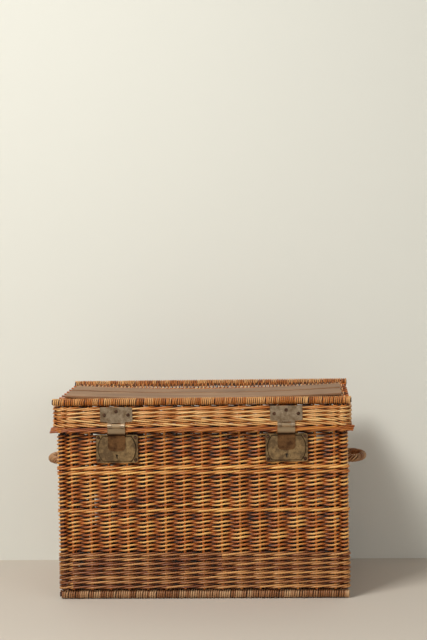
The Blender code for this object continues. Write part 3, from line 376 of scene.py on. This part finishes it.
# %% The closed loop of a wall
class Loop:
    """The middle line of a woven wall and its stakes, counted from the front left corner."""

    def __init__(self, half_x, half_y, radius, end_stakes, amplitude, post_amplitude=None):
        self.half_x, self.half_y, self.radius = half_x, half_y, radius
        self.run_x, self.run_y = 2 * (half_x - radius), 2 * (half_y - radius)
        self.bend = math.pi * radius / 2
        self.stakes, self.reach = [], []
        start = 0.0
        for run, count in ((self.run_x, FRONT_COUNT), (self.run_y, SIDE_COUNT)) * 2:
            places = [(i - (count - 1) / 2) * SPACING for i in range(count)]
            if end_stakes:
                far = run / 2 + end_stakes
                places = [-far, *places, far]
            self.stakes += [start + run / 2 + p for p in places]
            self.reach += [amplitude] * len(places)
            start += run + self.bend
            if post_amplitude:
                self.stakes.append(start - self.bend / 2)
                self.reach.append(post_amplitude)
        self.length = start
        self.count = len(self.stakes)
        turns = np.arange(-1, 3)
        self.all_counts = np.arange(-self.count, 3 * self.count)
        self.all_stakes = np.concatenate([np.array(self.stakes) + t * start for t in turns])
        self.all_reach = np.tile(self.reach, 4)

    def distance(self, counts):
        """Distance along the loop for a count of stakes; 2.5 is halfway from stake 2 to 3."""
        return np.interp(counts, self.all_counts, self.all_stakes)

    def amplitude(self, counts):
        return np.interp(counts, self.all_counts, self.all_reach)

    def at(self, distance, out):
        """x and y of places on the loop, moved outwards by out."""
        s = np.mod(distance, self.length)
        x, y = np.zeros_like(s), np.zeros_like(s)
        start = 0.0
        for side in range(4):
            run = (self.run_x, self.run_y)[side % 2]
            half = (self.half_y, self.half_x)[side % 2]
            turn = side * math.pi / 2
            on_run = (s >= start) & (s <= start + run)
            along, away = s - start - run / 2, half + out
            angle = (s - start - run) / self.radius
            on_bend = (s > start + run) & (s < start + run + self.bend)
            bend_u = run / 2 + (self.radius + out) * np.sin(angle)
            bend_v = half - self.radius + (self.radius + out) * np.cos(angle)
            for mask, u, v in ((on_run, along, away), (on_bend, bend_u, bend_v)):
                x = np.where(mask, u * math.cos(turn) + v * math.sin(turn), x)
                y = np.where(mask, u * math.sin(turn) - v * math.cos(turn), y)
            start += run + self.bend
        return x, y + MIDDLE_Y


STAKE_AMPLITUDE = 0.0053
POST_AMPLITUDE = 0.0078
BODY = Loop(HALF_LENGTH - WALL / 2, HALF_DEPTH - WALL / 2, CORNER - WALL / 2, 0,
            STAKE_AMPLITUDE, POST_AMPLITUDE)
LID_OUT, LID_AMPLITUDE = 0.003, 0.0041
LID_END_STAKES = 0.001
LID = Loop(HALF_LENGTH + LID_OUT, HALF_DEPTH + LID_OUT, CORNER + LID_OUT, LID_END_STAKES,
           LID_AMPLITUDE)
print("stakes round the body:", BODY.count, "and round the lid:", LID.count)


# %% [markdown]
# ## Weaves
#
# Pairing uses two rods: each passes in front of one stake and behind the next, and they twist
# between the stakes. Waling uses three: each passes in front of two stakes and behind one, so
# its strokes are longer and make a strong band. A formula in counted stakes gives both: how
# far out the rod lies, and how high in its row. The rods rise to the right, apart from a
# reversed wale, which falls.

# %% Patterns of a weave
def pairing(count, rise):
    """(out, up, front) of a pairing rod, for its count of stakes."""
    wave, climb = np.cos(math.pi * count), np.sin(math.pi * count)
    up = rise * np.sign(climb) * np.abs(climb) ** 0.6
    return wave * (1.06 - 0.06 * wave ** 2), up, (wave + 1) / 2


def eased(value, places, heights):
    """A smooth line through these points, level at each of them."""
    line = np.zeros_like(value)
    for start, end, low, high in zip(places, places[1:], heights, heights[1:]):
        share = (value - start) / (end - start)
        step = low + (high - low) * share ** 2 * (3 - 2 * share)
        line = np.where((value >= start) & (value <= end), step, line)
    return line


def waling(count, rise, over=2):
    """(out, up, front) of a rod that passes in front of `over` stakes and behind one."""
    period = over + 1
    v = np.mod(count, period)
    front_share = np.clip((v - 0.5) / over, 0, 1)
    back_share = np.mod(v + 0.5, period)
    back_share = np.where(back_share < 1, back_share, 1)
    on_front = (v >= 0.5) & (v <= over + 0.5)
    up = np.where(on_front, 2 * front_share - 1, 1 - 2 * back_share)
    out = eased(v, (0, 1.05, over, period), (-1, 1.3, 0.95, -1))
    return out, rise * up, np.clip((out + 1) / 2.1, 0, 1)


def drift(distance, seed, size):
    """The slow unevenness of a hand-woven row."""
    phase = np.random.default_rng(seed).uniform(0, 6.28, 4)
    waves = ((2.31, 1.0), (0.83, 0.5), (0.29, 0.45), (0.107, 0.3))
    return size * sum(a * np.sin(2 * math.pi * distance / w + p) for (w, a), p in zip(waves, phase))


def collar_shift(z):
    """The body's wall steps in and leans under the lid."""
    return np.interp(z, [LID_EDGE - 0.0035, LID_EDGE - 0.0003, COLLAR_TOP], [0.0, -0.003, -0.0065])


def narrow(z):
    """Under the lid the wall is thinner, so its rods lie closer."""
    return np.interp(z, [LID_EDGE - 0.009, LID_EDGE - 0.0035], [1.0, 0.72])


# %% One row of a weave
SAMPLES = 6


def row(loop, z, kind, radius, rise, seed, mirrored=False, over=2, spread=0.10):
    """The rods of one full round of a weave, at height z."""
    strands = {"pair": 2, "wale": over + 1}[kind]
    routes = []
    sloped = loop is BODY
    for strand in range(strands):
        chance = np.random.default_rng([seed, strand])
        cut = chance.integers(4, 12)
        joints = [0, cut, cut + loop.count // 2, loop.count]
        for first, last in zip(joints, joints[1:]):
            counts = np.linspace(first, last, (last - first) * SAMPLES + 1)
            phase = counts + strand
            if mirrored:
                phase = -phase
            if kind == "pair":
                out, up, front = pairing(phase, rise)
                up = -up if mirrored else up
            else:
                out, up, front = waling(phase, rise, over)
            s = loop.distance(counts)
            height = z + up + drift(s, seed, 0.00032) + drift(s, [seed, strand, 7], 0.00018)
            size = narrow(height) if sloped else 1.0
            shift = collar_shift(height) if sloped else 0.0
            reach = out * loop.amplitude(counts) * size
            reach = reach + drift(s, [seed, strand, 9], 0.00015) + shift
            thick = radius * chance.uniform(1 - spread, 1 + spread)
            radii = taper(len(counts), thick * 1.07, thick * 0.93) * size
            x, y = loop.at(s, reach)
            points = np.stack([x, y, height], axis=1)
            routes.append((points, radii, front, chance.uniform(0, 1)))
    return routes


def rows(loop, start, pitch, number, *args, seed=0, **options):
    routes = []
    for i in range(number):
        routes += row(loop, start + i * pitch, *args, seed=seed + i, **options)
    return routes


# %% [markdown]
# ## The walls of the body
#
# From the floor up: a tall band of waling that locks the stakes upright, pairing, one round of
# waling, pairing, two rounds of waling and pairing up to the border, which the lid hides. Each
# band is its own piece, so that none of them is too heavy.

# %% Weave the body
BODY_WALLS = ["front_wall_weave", "back_wall_weave", "left_wall_weave", "right_wall_weave"]
WALE_RISE = 0.0046
# Each band: its lowest row, pitch, number of rows, weave, rod radius, rise and finish.
BANDS = {
    "low_wale": (0.0325, 0.0119, 8, "wale", 0.0023, WALE_RISE, LOW_WILLOW),
    "low_pairing": (0.1283, 0.0100, 10, "pair", 0.0024, 0.0023, WILLOW),
    "middle_wale": (0.2302, 0.0127, 1, "wale", 0.0025, WALE_RISE, WILLOW),
    "middle_pairing": (0.2428, 0.0103, 8, "pair", 0.0024, 0.0024, WILLOW),
    "upper_wale": (0.3275, 0.0124, 2, "wale", 0.0025, WALE_RISE, WILLOW),
    "upper_pairing": (0.3525, 0.0098, 11, "pair", 0.0024, 0.0023, WILLOW),
}
for number, (band, (*weave, finish)) in enumerate(BANDS.items(), start=1):
    rods(f"body_{band}", rows(BODY, *weave, seed=100 * number), "basket", finish,
         BODY_WALLS)

# %% [markdown]
# ## Stakes and borders
#
# The stakes are seen between the weavers as short upright bars. Each is a slightly uneven
# rod. The border closes the top of the body: the stakes are bent over and woven into a low
# plait, made here as one more round of waling with thicker rods.

# %% Stakes of the body
def stake_routes(loop, low, high, radius, lean, seed, step=12):
    routes = []
    chance = np.random.default_rng(seed)
    for index, s in enumerate(loop.stakes):
        if loop is BODY and loop.reach[index] == POST_AMPLITUDE:
            continue
        z = np.linspace(low, high, step)
        wander = chance.uniform(-lean, lean) * np.sin(np.linspace(0, 3, step))
        out = collar_shift(z) if loop is BODY else np.zeros(step)
        x, y = loop.at(np.full(step, s) + wander, out)
        radii = taper(step, radius * 1.04, radius * 0.9)
        routes.append((np.stack([x, y, z], axis=1), radii, np.full(step, 0.8),
                       chance.uniform(0, 1)))
    return routes


stakes = stake_routes(BODY, 0.0245, COLLAR_TOP - 0.006, 0.0033, 0.0012, 31)
border = rows(BODY, COLLAR_TOP - 0.0062, 0.01, 1, "wale", 0.0029, 0.0036, seed=40, over=3)
rods("body_stakes", stakes, "basket", STAKE_WILLOW,
     ["front_stakes_and_border", "back_stakes_and_border", "left_stakes_and_border",
      "right_stakes_and_border"])
rods("body_border", border, "basket", WILLOW)


# %% [markdown]
# ## Wrapped rolls
#
# The base and the top of the lid are woven flat, on sticks that run lengthwise. Along the
# front and back edge the weavers wrap round one thick stick, side by side, so each edge looks
# like a coil of rope. A helix round the stick gives that. Its pitch and its tilt wander, because
# no two turns lie the same way.

# %% Rolls along the base and the lid
def sag(x, y):
    """The lid hangs down in the middle, between its rolls and its ends."""
    inner = LID_HALF_DEPTH - 2 * LID_ROLL_RADIUS
    along = np.maximum(0, 1 - (x / LID_HALF_LENGTH) ** 2)
    across = np.maximum(0, 1 - np.abs((y - MIDDLE_Y) / inner) ** SAG_POWER)
    return LID_SAG * along * across


LID_OVERHANG = 0.009
LID_HALF_DEPTH = HALF_DEPTH + LID_OVERHANG
LID_ROLL_RADIUS = 0.011
LID_SAG, SAG_POWER = 0.013, 6
ROLL_END = 0.0005


def roll_routes(y, z, half_x, stick, rod, pitch, seed, floor=None):
    """Short helices, a few turns each, end to end along an edge."""
    chance = np.random.default_rng(seed)
    routes = []
    x = -half_x + rod
    while x < half_x - rod:
        turns = int(chance.integers(1, 4))
        steps = pitch * chance.uniform(0.93, 1.08, turns)
        last = min(x + steps.sum(), half_x - rod)
        count = turns * 14 + 1
        share = np.linspace(0, 1, count)
        angle = share * turns * 2 * math.pi + math.pi / 2
        radius = stick + rod * chance.uniform(0.92, 1.0)
        tilt = chance.uniform(-0.0014, 0.0014)
        ups = z + radius * np.sin(angle)
        if floor is not None:
            ups = np.maximum(ups, floor + rod)
        points = np.stack([x + (last - x) * share + tilt * np.cos(angle),
                           y - radius * np.cos(angle), ups], axis=1)
        routes.append((points, taper(count, rod * chance.uniform(0.94, 1.06), rod * 0.97),
                       np.full(count, 0.85), chance.uniform(0, 1)))
        x = last
    return routes


BASE_RADIUS = 0.012
BASE_Z = 0.0115
BASE_ROLL_Y = HALF_DEPTH - BASE_RADIUS
EDGE_STICK = 0.0065
base_rolls = []
for sign in (-1, 1):
    base_rolls += roll_routes(MIDDLE_Y + sign * BASE_ROLL_Y, BASE_Z, HALF_LENGTH - ROLL_END, EDGE_STICK,
                              0.0024, 0.0058, 50 + sign, floor=0.0)
rods("base_rolls", base_rolls, "basket", GREY_WILLOW, ["base_weave"])

LID_ROLL_Z = LID_TOP - LID_ROLL_RADIUS
LID_ROLL_Y = LID_HALF_DEPTH - LID_ROLL_RADIUS
lid_rolls = []
for sign in (-1, 1):
    lid_rolls += roll_routes(MIDDLE_Y + sign * LID_ROLL_Y, LID_ROLL_Z, LID_HALF_LENGTH - ROLL_END,
                             EDGE_STICK, 0.00185, 0.0050, 60 + sign)
rods("lid_rolls", lid_rolls, "lid", RIM_WILLOW, ["lid_top_weave"])


# %% [markdown]
# ## Flat panels
#
# Between the rolls the weavers run from the front to the back, over one stick and under the
# next, and each neighbour does the opposite. The lid's panel has sagged with use.

# %% Panels of the base and the lid
PANEL_STICKS = 8


def panel_routes(half_x, half_y, z, pitch, rod, reach, seed, sagging=False):
    chance = np.random.default_rng(seed)
    stick_gap = 2 * half_y / (PANEL_STICKS + 1)
    weavers = int(2 * (half_x - 0.012) / pitch)
    count = (PANEL_STICKS + 1) * 5 + 1
    y = np.linspace(-half_y, half_y, count) + MIDDLE_Y
    wave = np.cos(math.pi * (y - MIDDLE_Y + half_y) / stick_gap)
    routes = []
    for i in range(weavers):
        x = (i - (weavers - 1) / 2) * pitch + drift(y, [seed, i], 0.0003)
        up = (1 if i % 2 else -1) * wave * reach * (1 - np.abs((y - MIDDLE_Y) / half_y) ** 16)
        height = z + up - (sag(x, y) if sagging else 0)
        points = np.stack([x, y, height], axis=1)
        routes.append((points, taper(count, rod * chance.uniform(0.9, 1.08), rod * 0.94),
                       (up / reach + 1) / 2, chance.uniform(0, 1)))
    sticks = []
    for i in range(1, PANEL_STICKS + 1):
        x = np.linspace(-half_x + 0.004, half_x - 0.004, 40)
        y_stick = np.full(40, MIDDLE_Y - half_y + i * stick_gap)
        height = z - (sag(x, y_stick) if sagging else 0)
        points = np.stack([x, y_stick, np.broadcast_to(height, x.shape)], axis=1)
        # The sticks lie under the weavers: their low forwardness gives them painted shade in the willow
        # finish.
        sticks.append((points, taper(40, 0.0026, 0.0022), np.full(40, 0.4), chance.uniform(0, 1)))
    return routes, sticks


weavers, sticks = panel_routes(HALF_LENGTH, BASE_ROLL_Y - 0.009, BASE_Z, 0.0058, 0.0024, 0.0043, 71)
rods("base_panel", weavers, "basket", GREY_WILLOW, sides=6)
rods("base_sticks", sticks, "basket", STAKE_WILLOW, sides=6)
weavers, sticks = panel_routes(LID_HALF_LENGTH, LID_ROLL_Y - 0.008, LID_ROLL_Z, 0.0052, 0.0020,
                               0.0036, 72, sagging=True)
rods("lid_panel", weavers, "lid", RIM_WILLOW, sides=6)
rods("lid_sticks", sticks, "lid", STAKE_WILLOW, sides=6)

# %% [markdown]
# ## The skirt of the lid
#
# The skirt is waled like the bands of the body. Its two lower rounds slope the other way, so
# that the strokes meet in arrow heads. Each border rod passes in front of three stakes and
# behind the fourth. A few ends are left long at the corners, as the maker cut them.

# %% Skirt and border of the lid
LID_SKIRTS = [f"lid_{side}_skirt_weave" for side in ("front", "back", "left", "right")]
LID_BORDERS = [f"lid_{side}_stakes_and_border" for side in ("front", "back", "left", "right")]
skirt = rows(LID, 0.4722, 0.0098, 3, "wale", 0.0020, 0.0038, seed=700)
skirt += rows(LID, 0.4508, 0.0112, 2, "wale", 0.0021, 0.0048, seed=720, mirrored=True)
rods("lid_skirt", skirt, "lid", RIM_WILLOW, LID_SKIRTS)

BORDER_OUT, BORDER_AMPLITUDE = 0.0046, 0.0049
BORDER = Loop(HALF_LENGTH + BORDER_OUT, HALF_DEPTH + BORDER_OUT, CORNER + BORDER_OUT,
              LID_END_STAKES, BORDER_AMPLITUDE)
border = rows(BORDER, LID_EDGE + 0.0083, 0.01, 1, "wale", 0.0022, 0.0060, seed=740, over=3,
              spread=0.2)
rods("lid_border", border, "lid", SHADED_BORDER_WILLOW)


def corner_ends(seed):
    """Cut ends of border rods, left a little long where they pass the corners."""
    chance = np.random.default_rng(seed)
    routes = []
    steps = np.linspace(0, 1, 7)
    for side in (-1, 1):
        for face in (-1, 1):
            for i in range(3):
                length = chance.uniform(0.030, 0.050)
                reach = HALF_LENGTH + 0.0115 + chance.uniform(0, 0.006)
                x = side * (reach - length * (1 - steps))
                y = MIDDLE_Y + face * (HALF_DEPTH + 0.0098 - 0.0022 * i - 0.003 * steps)
                z = LID_EDGE + 0.0035 + 0.0045 * i + 0.004 * (1 - steps)
                points = np.stack([x, np.broadcast_to(y, x.shape), z], axis=1)
                routes.append((points, taper(7, 0.0024, 0.0026), np.full(7, 0.9),
                               chance.uniform(0.3, 0.9)))
    return routes


rods("lid_border_ends", corner_ends(77), "lid", SHADED_BORDER_WILLOW)
rods("lid_stakes", stake_routes(LID, LID_EDGE + 0.004, 0.4975, 0.0021, 0.0006, 750), "lid",
     STAKE_WILLOW, LID_BORDERS)


# %% [markdown]
# ## Roped handles
#
# Each handle is a bow of thick willow with rods twisted round it like a rope. The path of the
# bow is a rounded polyline; the strands are helices round it, and each keeps its distance by
# a frame that is carried along the path.

# %% Handles
def smooth_path(corners, radius, spacing):
    """A polyline with rounded corners, resampled evenly."""
    path = [np.array(corners[0], float)]
    for before, here, after in zip(corners, corners[1:], corners[2:]):
        before, here, after = (np.array(p, float) for p in (before, here, after))
        back, on = before - here, after - here
        reach = min(radius, 0.49 * np.linalg.norm(back), 0.49 * np.linalg.norm(on))
        start = here + back / np.linalg.norm(back) * reach
        end = here + on / np.linalg.norm(on) * reach
        for t in np.linspace(0, 1, 12):
            path.append((1 - t) ** 2 * start + 2 * t * (1 - t) * here + t * t * end)
    path.append(np.array(corners[-1], float))
    path = np.array(path)
    gone = np.concatenate([[0], np.cumsum(np.linalg.norm(np.diff(path, axis=0), axis=1))])
    even = np.linspace(0, gone[-1], int(gone[-1] / spacing) + 1)
    return np.stack([np.interp(even, gone, path[:, i]) for i in range(3)], axis=1), even


def twisted(path, gone, strands, helix, rod, lay, seed):
    """Strands that wind round a path which lies in a level plane."""
    chance = np.random.default_rng(seed)
    along = np.gradient(path, axis=0)
    along /= np.linalg.norm(along, axis=1)[:, None]
    up = np.array([0.0, 0.0, 1.0])
    side = np.cross(along, up)
    routes = []
    for strand in range(strands):
        angle = 2 * math.pi * (gone / lay + strand / strands) + drift(gone, [seed, strand], 0.08)
        radius = helix * (1 + drift(gone, [seed, strand, 1], 0.02))
        points = path + (np.cos(angle) * radius)[:, None] * side
        points += (np.sin(angle) * radius)[:, None] * up
        routes.append((points, taper(len(path), rod * 1.02, rod * 0.96), np.full(len(path), 0.85),
                       chance.uniform(0, 1)))
    return routes


HANDLE_Z = (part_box("left_handle_wrap")[0].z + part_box("left_handle_wrap")[1].z) / 2
HANDLE_ROOT, HANDLE_SHOULDER, HANDLE_THICKNESS = 0.001, 0.022, 0.0105
HANDLE_HALF_SPAN, HANDLE_HALF_GRIP = 0.06, 0.025
HANDLE_BEND, HANDLE_STEP, HANDLE_LAY = 0.024, 0.0035, 0.046
HANDLE_STRANDS, HANDLE_HELIX, HANDLE_ROD = 6, 0.0080, 0.00235
for side, sign in (("left", -1), ("right", 1)):
    tip = abs(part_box(f"{side}_handle_wrap")[0 if sign < 0 else 1].x) - HANDLE_THICKNESS
    root, rise = HALF_LENGTH + HANDLE_ROOT, HALF_LENGTH + HANDLE_SHOULDER
    half_bow = [(root, HANDLE_HALF_SPAN), (rise, HANDLE_HALF_SPAN), (tip, HANDLE_HALF_GRIP)]
    bow = [(sign * out, MIDDLE_Y - across, HANDLE_Z) for out, across in half_bow]
    bow += [(sign * out, MIDDLE_Y + across, HANDLE_Z) for out, across in reversed(half_bow)]
    path, gone = smooth_path(bow, HANDLE_BEND, HANDLE_STEP)
    strands = twisted(path, gone, HANDLE_STRANDS, HANDLE_HELIX, HANDLE_ROD, HANDLE_LAY, 800 + sign)
    rods(f"{side}_handle_rope", strands, "basket", HANDLE_WILLOW,
         [f"{side}_handle_wrap"])

# %% [markdown]
# ## Aged brass
#
# The plates are old brass: dull grey-gold and mottled, with dark pits. Large noise changes the
# tone, and fine noise gives pits and scratches. Roughness follows the tarnish and the
# scratches, because a worn place shines more than a tarnished one.

# %% Metal and slats
def brass(name, clean, tarnish, dirt, rough, seed, finish_only=False):
    made = Finish(name)
    spot = made.place()
    cloud = made.noise(spot, 38.0 + seed, detail=5.0, roughness=0.62)
    stain = made.noise(spot, 120.0, detail=4.0, roughness=0.7)
    tarnished = (cloud + (stain - 0.5) * 0.5).between(0.36, 0.62)
    colour = made.mix(tarnished, clean, tarnish)
    pits = made.noise(spot, 420.0, detail=2.0).between(0.60, 0.72)
    colour = made.mix(pits * 0.7, colour, dirt)
    scratch_spot = made.place(scale=(40.0, 40.0, 900.0))
    scratches = made.noise(scratch_spot, 1.0, detail=2.0)
    made.bump(stain * 0.5 + scratches * 0.25 + (1 - pits) * 0.5, 0.30, 0.0004)
    made.set(Base_Color=colour, Metallic=0.9,
             Roughness=rough + tarnished * 0.16 + (scratches - 0.5) * 0.12)
    return made if finish_only else made.material


PLATE_BRASS = brass("plate_brass", srgb(196, 176, 150), srgb(140, 118, 92), srgb(58, 44, 32),
                    0.36, 0)
RIVET_BRASS = brass("rivet_brass", srgb(118, 88, 70), srgb(70, 48, 38), srgb(26, 16, 10), 0.26, 7)
DARK_STEEL = brass("dark_steel", srgb(96, 90, 84), srgb(60, 52, 46), srgb(24, 20, 18), 0.45, 5)

LOCK_X = abs(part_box("left_lock_plate")[0].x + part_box("left_lock_plate")[1].x) / 2
LOCK_Z = (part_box("left_lock_plate")[0].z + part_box("left_lock_plate")[1].z) / 2
BOSS_RADIUS, BOSS_FLAT = 0.048, 0.031


def lock_finish():
    """Lock brass with a dark line of painted shade in the step round the raised box, measured from its
    outline.
    """
    made = brass("lock_plate_brass", srgb(182, 152, 108), srgb(118, 96, 70), srgb(44, 32, 22),
                 0.36, 3, finish_only=True)
    parts = made.tree.nodes.new("ShaderNodeSeparateXYZ")
    made.plug(parts.inputs[0], made.node("ShaderNodeTexCoord", out=3))
    x = Wire(made.tree, parts.outputs[0])
    z = Wire(made.tree, parts.outputs[2]) - LOCK_Z
    x = x.math("ABSOLUTE", x) - LOCK_X
    radius = (x * x + z * z) ** 0.5
    edge = radius.math("MAXIMUM", radius - BOSS_RADIUS, z.math("ABSOLUTE", z) - BOSS_FLAT)
    # A dark line of painted shade along the step round the raised box.
    groove_shade = 1 - edge.math("ABSOLUTE", edge - 0.0005).between(0.0005, 0.0017)
    colour = made.shader.inputs["Base Color"].links[0].from_socket
    made.set(Base_Color=made.mix(groove_shade * 0.85, Wire(made.tree, colour), srgb(34, 22, 12)))
    return made.material


def tongue_finish():
    """Brown and worn where it is handled, and pale like the plates where it runs over the border,
    partly a painted highlight on that bend, with a painted shadow in the step below it.
    """
    made = brass("tongue_brass", srgb(140, 102, 66), srgb(88, 60, 38), srgb(36, 22, 12), 0.34, 4,
                 finish_only=True)
    parts = made.tree.nodes.new("ShaderNodeSeparateXYZ")
    made.plug(parts.inputs[0], made.node("ShaderNodeTexCoord", out=3))
    z = Wire(made.tree, parts.outputs[2])
    brown = Wire(made.tree, made.shader.inputs["Base Color"].links[0].from_socket)
    # Above the lid's edge the colour turns pale like the plates: partly a painted highlight on the
    # bend.
    colour = made.mix(z.between(LID_EDGE - 0.003, LID_EDGE + 0.004), brown, srgb(182, 158, 126))
    # A dark band of painted shadow in the step under the bend.
    step = 1 - z.math("ABSOLUTE", z - (LID_EDGE - 0.004)).between(0.001, 0.0045)
    made.set(Base_Color=made.mix(step * 0.85, colour, srgb(30, 18, 8)))
    return made.material


METAL = {
    "hasp_plate": PLATE_BRASS, "hinge_lid_leaf": PLATE_BRASS, "hinge_body_leaf": PLATE_BRASS,
    "hasp_tongue": tongue_finish(), "lock_plate": lock_finish(), "lock_back_plate": DARK_STEEL,
    "lock_bolt": DARK_STEEL, "lock_key_cam": DARK_STEEL, "hinge_pin": DARK_STEEL,
    "hasp_pin": DARK_STEEL, "lock_rivet_plate": RIVET_BRASS, "hinge_body_rivet_strap": RIVET_BRASS,
    "hinge_lid_rivet_strap": RIVET_BRASS, "hasp_rivet_strap": RIVET_BRASS,
}


def coat(node, material):
    """Gives a solid that is kept its finished material."""
    slots = NODES[node].data.materials
    slots.clear()
    slots.append(material)


for hand in ("left", "right"):
    for part, material in METAL.items():
        coat(f"{hand}_{part}", material)


def slat_wood():
    made = Finish("slat_wood")
    grain_spot = made.place(scale=(3.0, 60.0, 60.0))
    grain = made.noise(grain_spot, 1.0, detail=5.0, roughness=0.6)
    fine = made.noise(made.place(scale=(14.0, 420.0, 420.0)), 1.0, detail=2.0)
    wear = made.noise(made.place(), 9.0, detail=3.0)
    value = (grain * 0.6 + fine * 0.25 + wear * 0.3 - 0.08).clamp()
    colour = made.ramp(value, [(0.15, srgb(56, 36, 22)), (0.5, srgb(146, 108, 74)),
                               (0.85, srgb(196, 156, 116))])
    made.bump(grain * 0.4 + fine * 0.6, 0.4, 0.0006)
    made.set(Base_Color=colour, Roughness=0.52 + fine * 0.2)
    return made.material


SLAT = slat_wood()
for name in ("lid_slat_front", "lid_slat_rear"):
    coat(name, SLAT)
for node in NODES:
    if "edge_stick" in node or "corner_post" in node:
        coat(node, STAKE_WILLOW)
    # The handle cores take the nearly black willow, which is painted shade.
    if "handle_core" in node:
        coat(node, SHADED_CORE_WILLOW)
print("metal, slats and kept sticks are coated")

# %% [markdown]
# ## Light and floor
#
# A pale floor and a pale wall stand for the studio. One large soft light from the upper left
# makes the highlights on the rods, a weaker one fills from the right, and a third stands
# behind the wall. A dim world light keeps the gaps dark but readable. The wall leans back a
# little, so that the open lid has room, and seen from behind it lets the view pass.

# %% Stage
STAGE_SIZE = 12.0


def stage_plane(name, size, centre, turn, colour):
    plane = bmesh.new()
    bmesh.ops.create_grid(plane, x_segments=1, y_segments=1, size=size / 2)
    bmesh.ops.rotate(plane, verts=plane.verts, cent=(0, 0, 0), matrix=turn)
    bmesh.ops.translate(plane, verts=plane.verts, vec=centre)
    mesh = bpy.data.meshes.new(name)
    plane.to_mesh(mesh)
    plane.free()
    obj = bpy.data.objects.new(name, mesh)
    bpy.context.scene.collection.objects.link(obj)
    made = Finish(name)
    made.set(Base_Color=(*colour, 1.0), Roughness=0.75)
    mesh.materials.append(made.material)
    return made


stage_plane("floor", STAGE_SIZE, (0, 0, 0), Matrix.Identity(3), srgb(206, 197, 184))
WALL_Y, LEAN = 0.272, math.radians(13)
HALF_STAGE = STAGE_SIZE / 2
wall_middle = (0, WALL_Y + HALF_STAGE * math.sin(LEAN), HALF_STAGE * math.cos(LEAN))
wall_finish = stage_plane("studio_wall", STAGE_SIZE, wall_middle,
                          Matrix.Rotation(math.pi / 2 - LEAN, 3, "X"), srgb(228, 228, 218))
facing = wall_finish.tree.nodes.new("ShaderNodeNewGeometry")
see_through = wall_finish.tree.nodes.new("ShaderNodeBsdfTransparent")
either = wall_finish.tree.nodes.new("ShaderNodeMixShader")
surface = wall_finish.tree.nodes["Material Output"].inputs["Surface"]
wall_finish.tree.links.new(facing.outputs["Backfacing"], either.inputs[0])
wall_finish.tree.links.new(wall_finish.shader.outputs[0], either.inputs[1])
wall_finish.tree.links.new(see_through.outputs[0], either.inputs[2])
wall_finish.tree.links.new(either.outputs[0], surface)


def soft_light(name, place, target, size, power, colour=(1, 1, 1)):
    lamp = bpy.data.lights.new(name, "AREA")
    lamp.shape = "SQUARE"
    lamp.size = size
    lamp.energy = power
    lamp.color = colour
    obj = bpy.data.objects.new(name, lamp)
    bpy.context.scene.collection.objects.link(obj)
    obj.location = place
    obj.rotation_euler = (Vector(target) - Vector(place)).to_track_quat("-Z", "Y").to_euler()


HALF_HEIGHT = 0.26
MIDDLE = (0, MIDDLE_Y, HALF_HEIGHT)
soft_light("key_light", (-1.5, -2.2, 3.3), MIDDLE, 1.3, 112, (1.0, 0.98, 0.95))
soft_light("fill_light", (2.2, -3.2, 1.8), MIDDLE, 2.0, 20, (1.0, 0.98, 0.96))
soft_light("rear_light", (0.6, 2.6, 2.4), MIDDLE, 2.0, 70)
world = bpy.data.worlds.new("studio")
bpy.context.scene.world = world
world.use_nodes = True
world.node_tree.nodes["Background"].inputs[0].default_value = (1.0, 0.98, 0.95, 1)
world.node_tree.nodes["Background"].inputs[1].default_value = 0.26

# %% Import json
import json
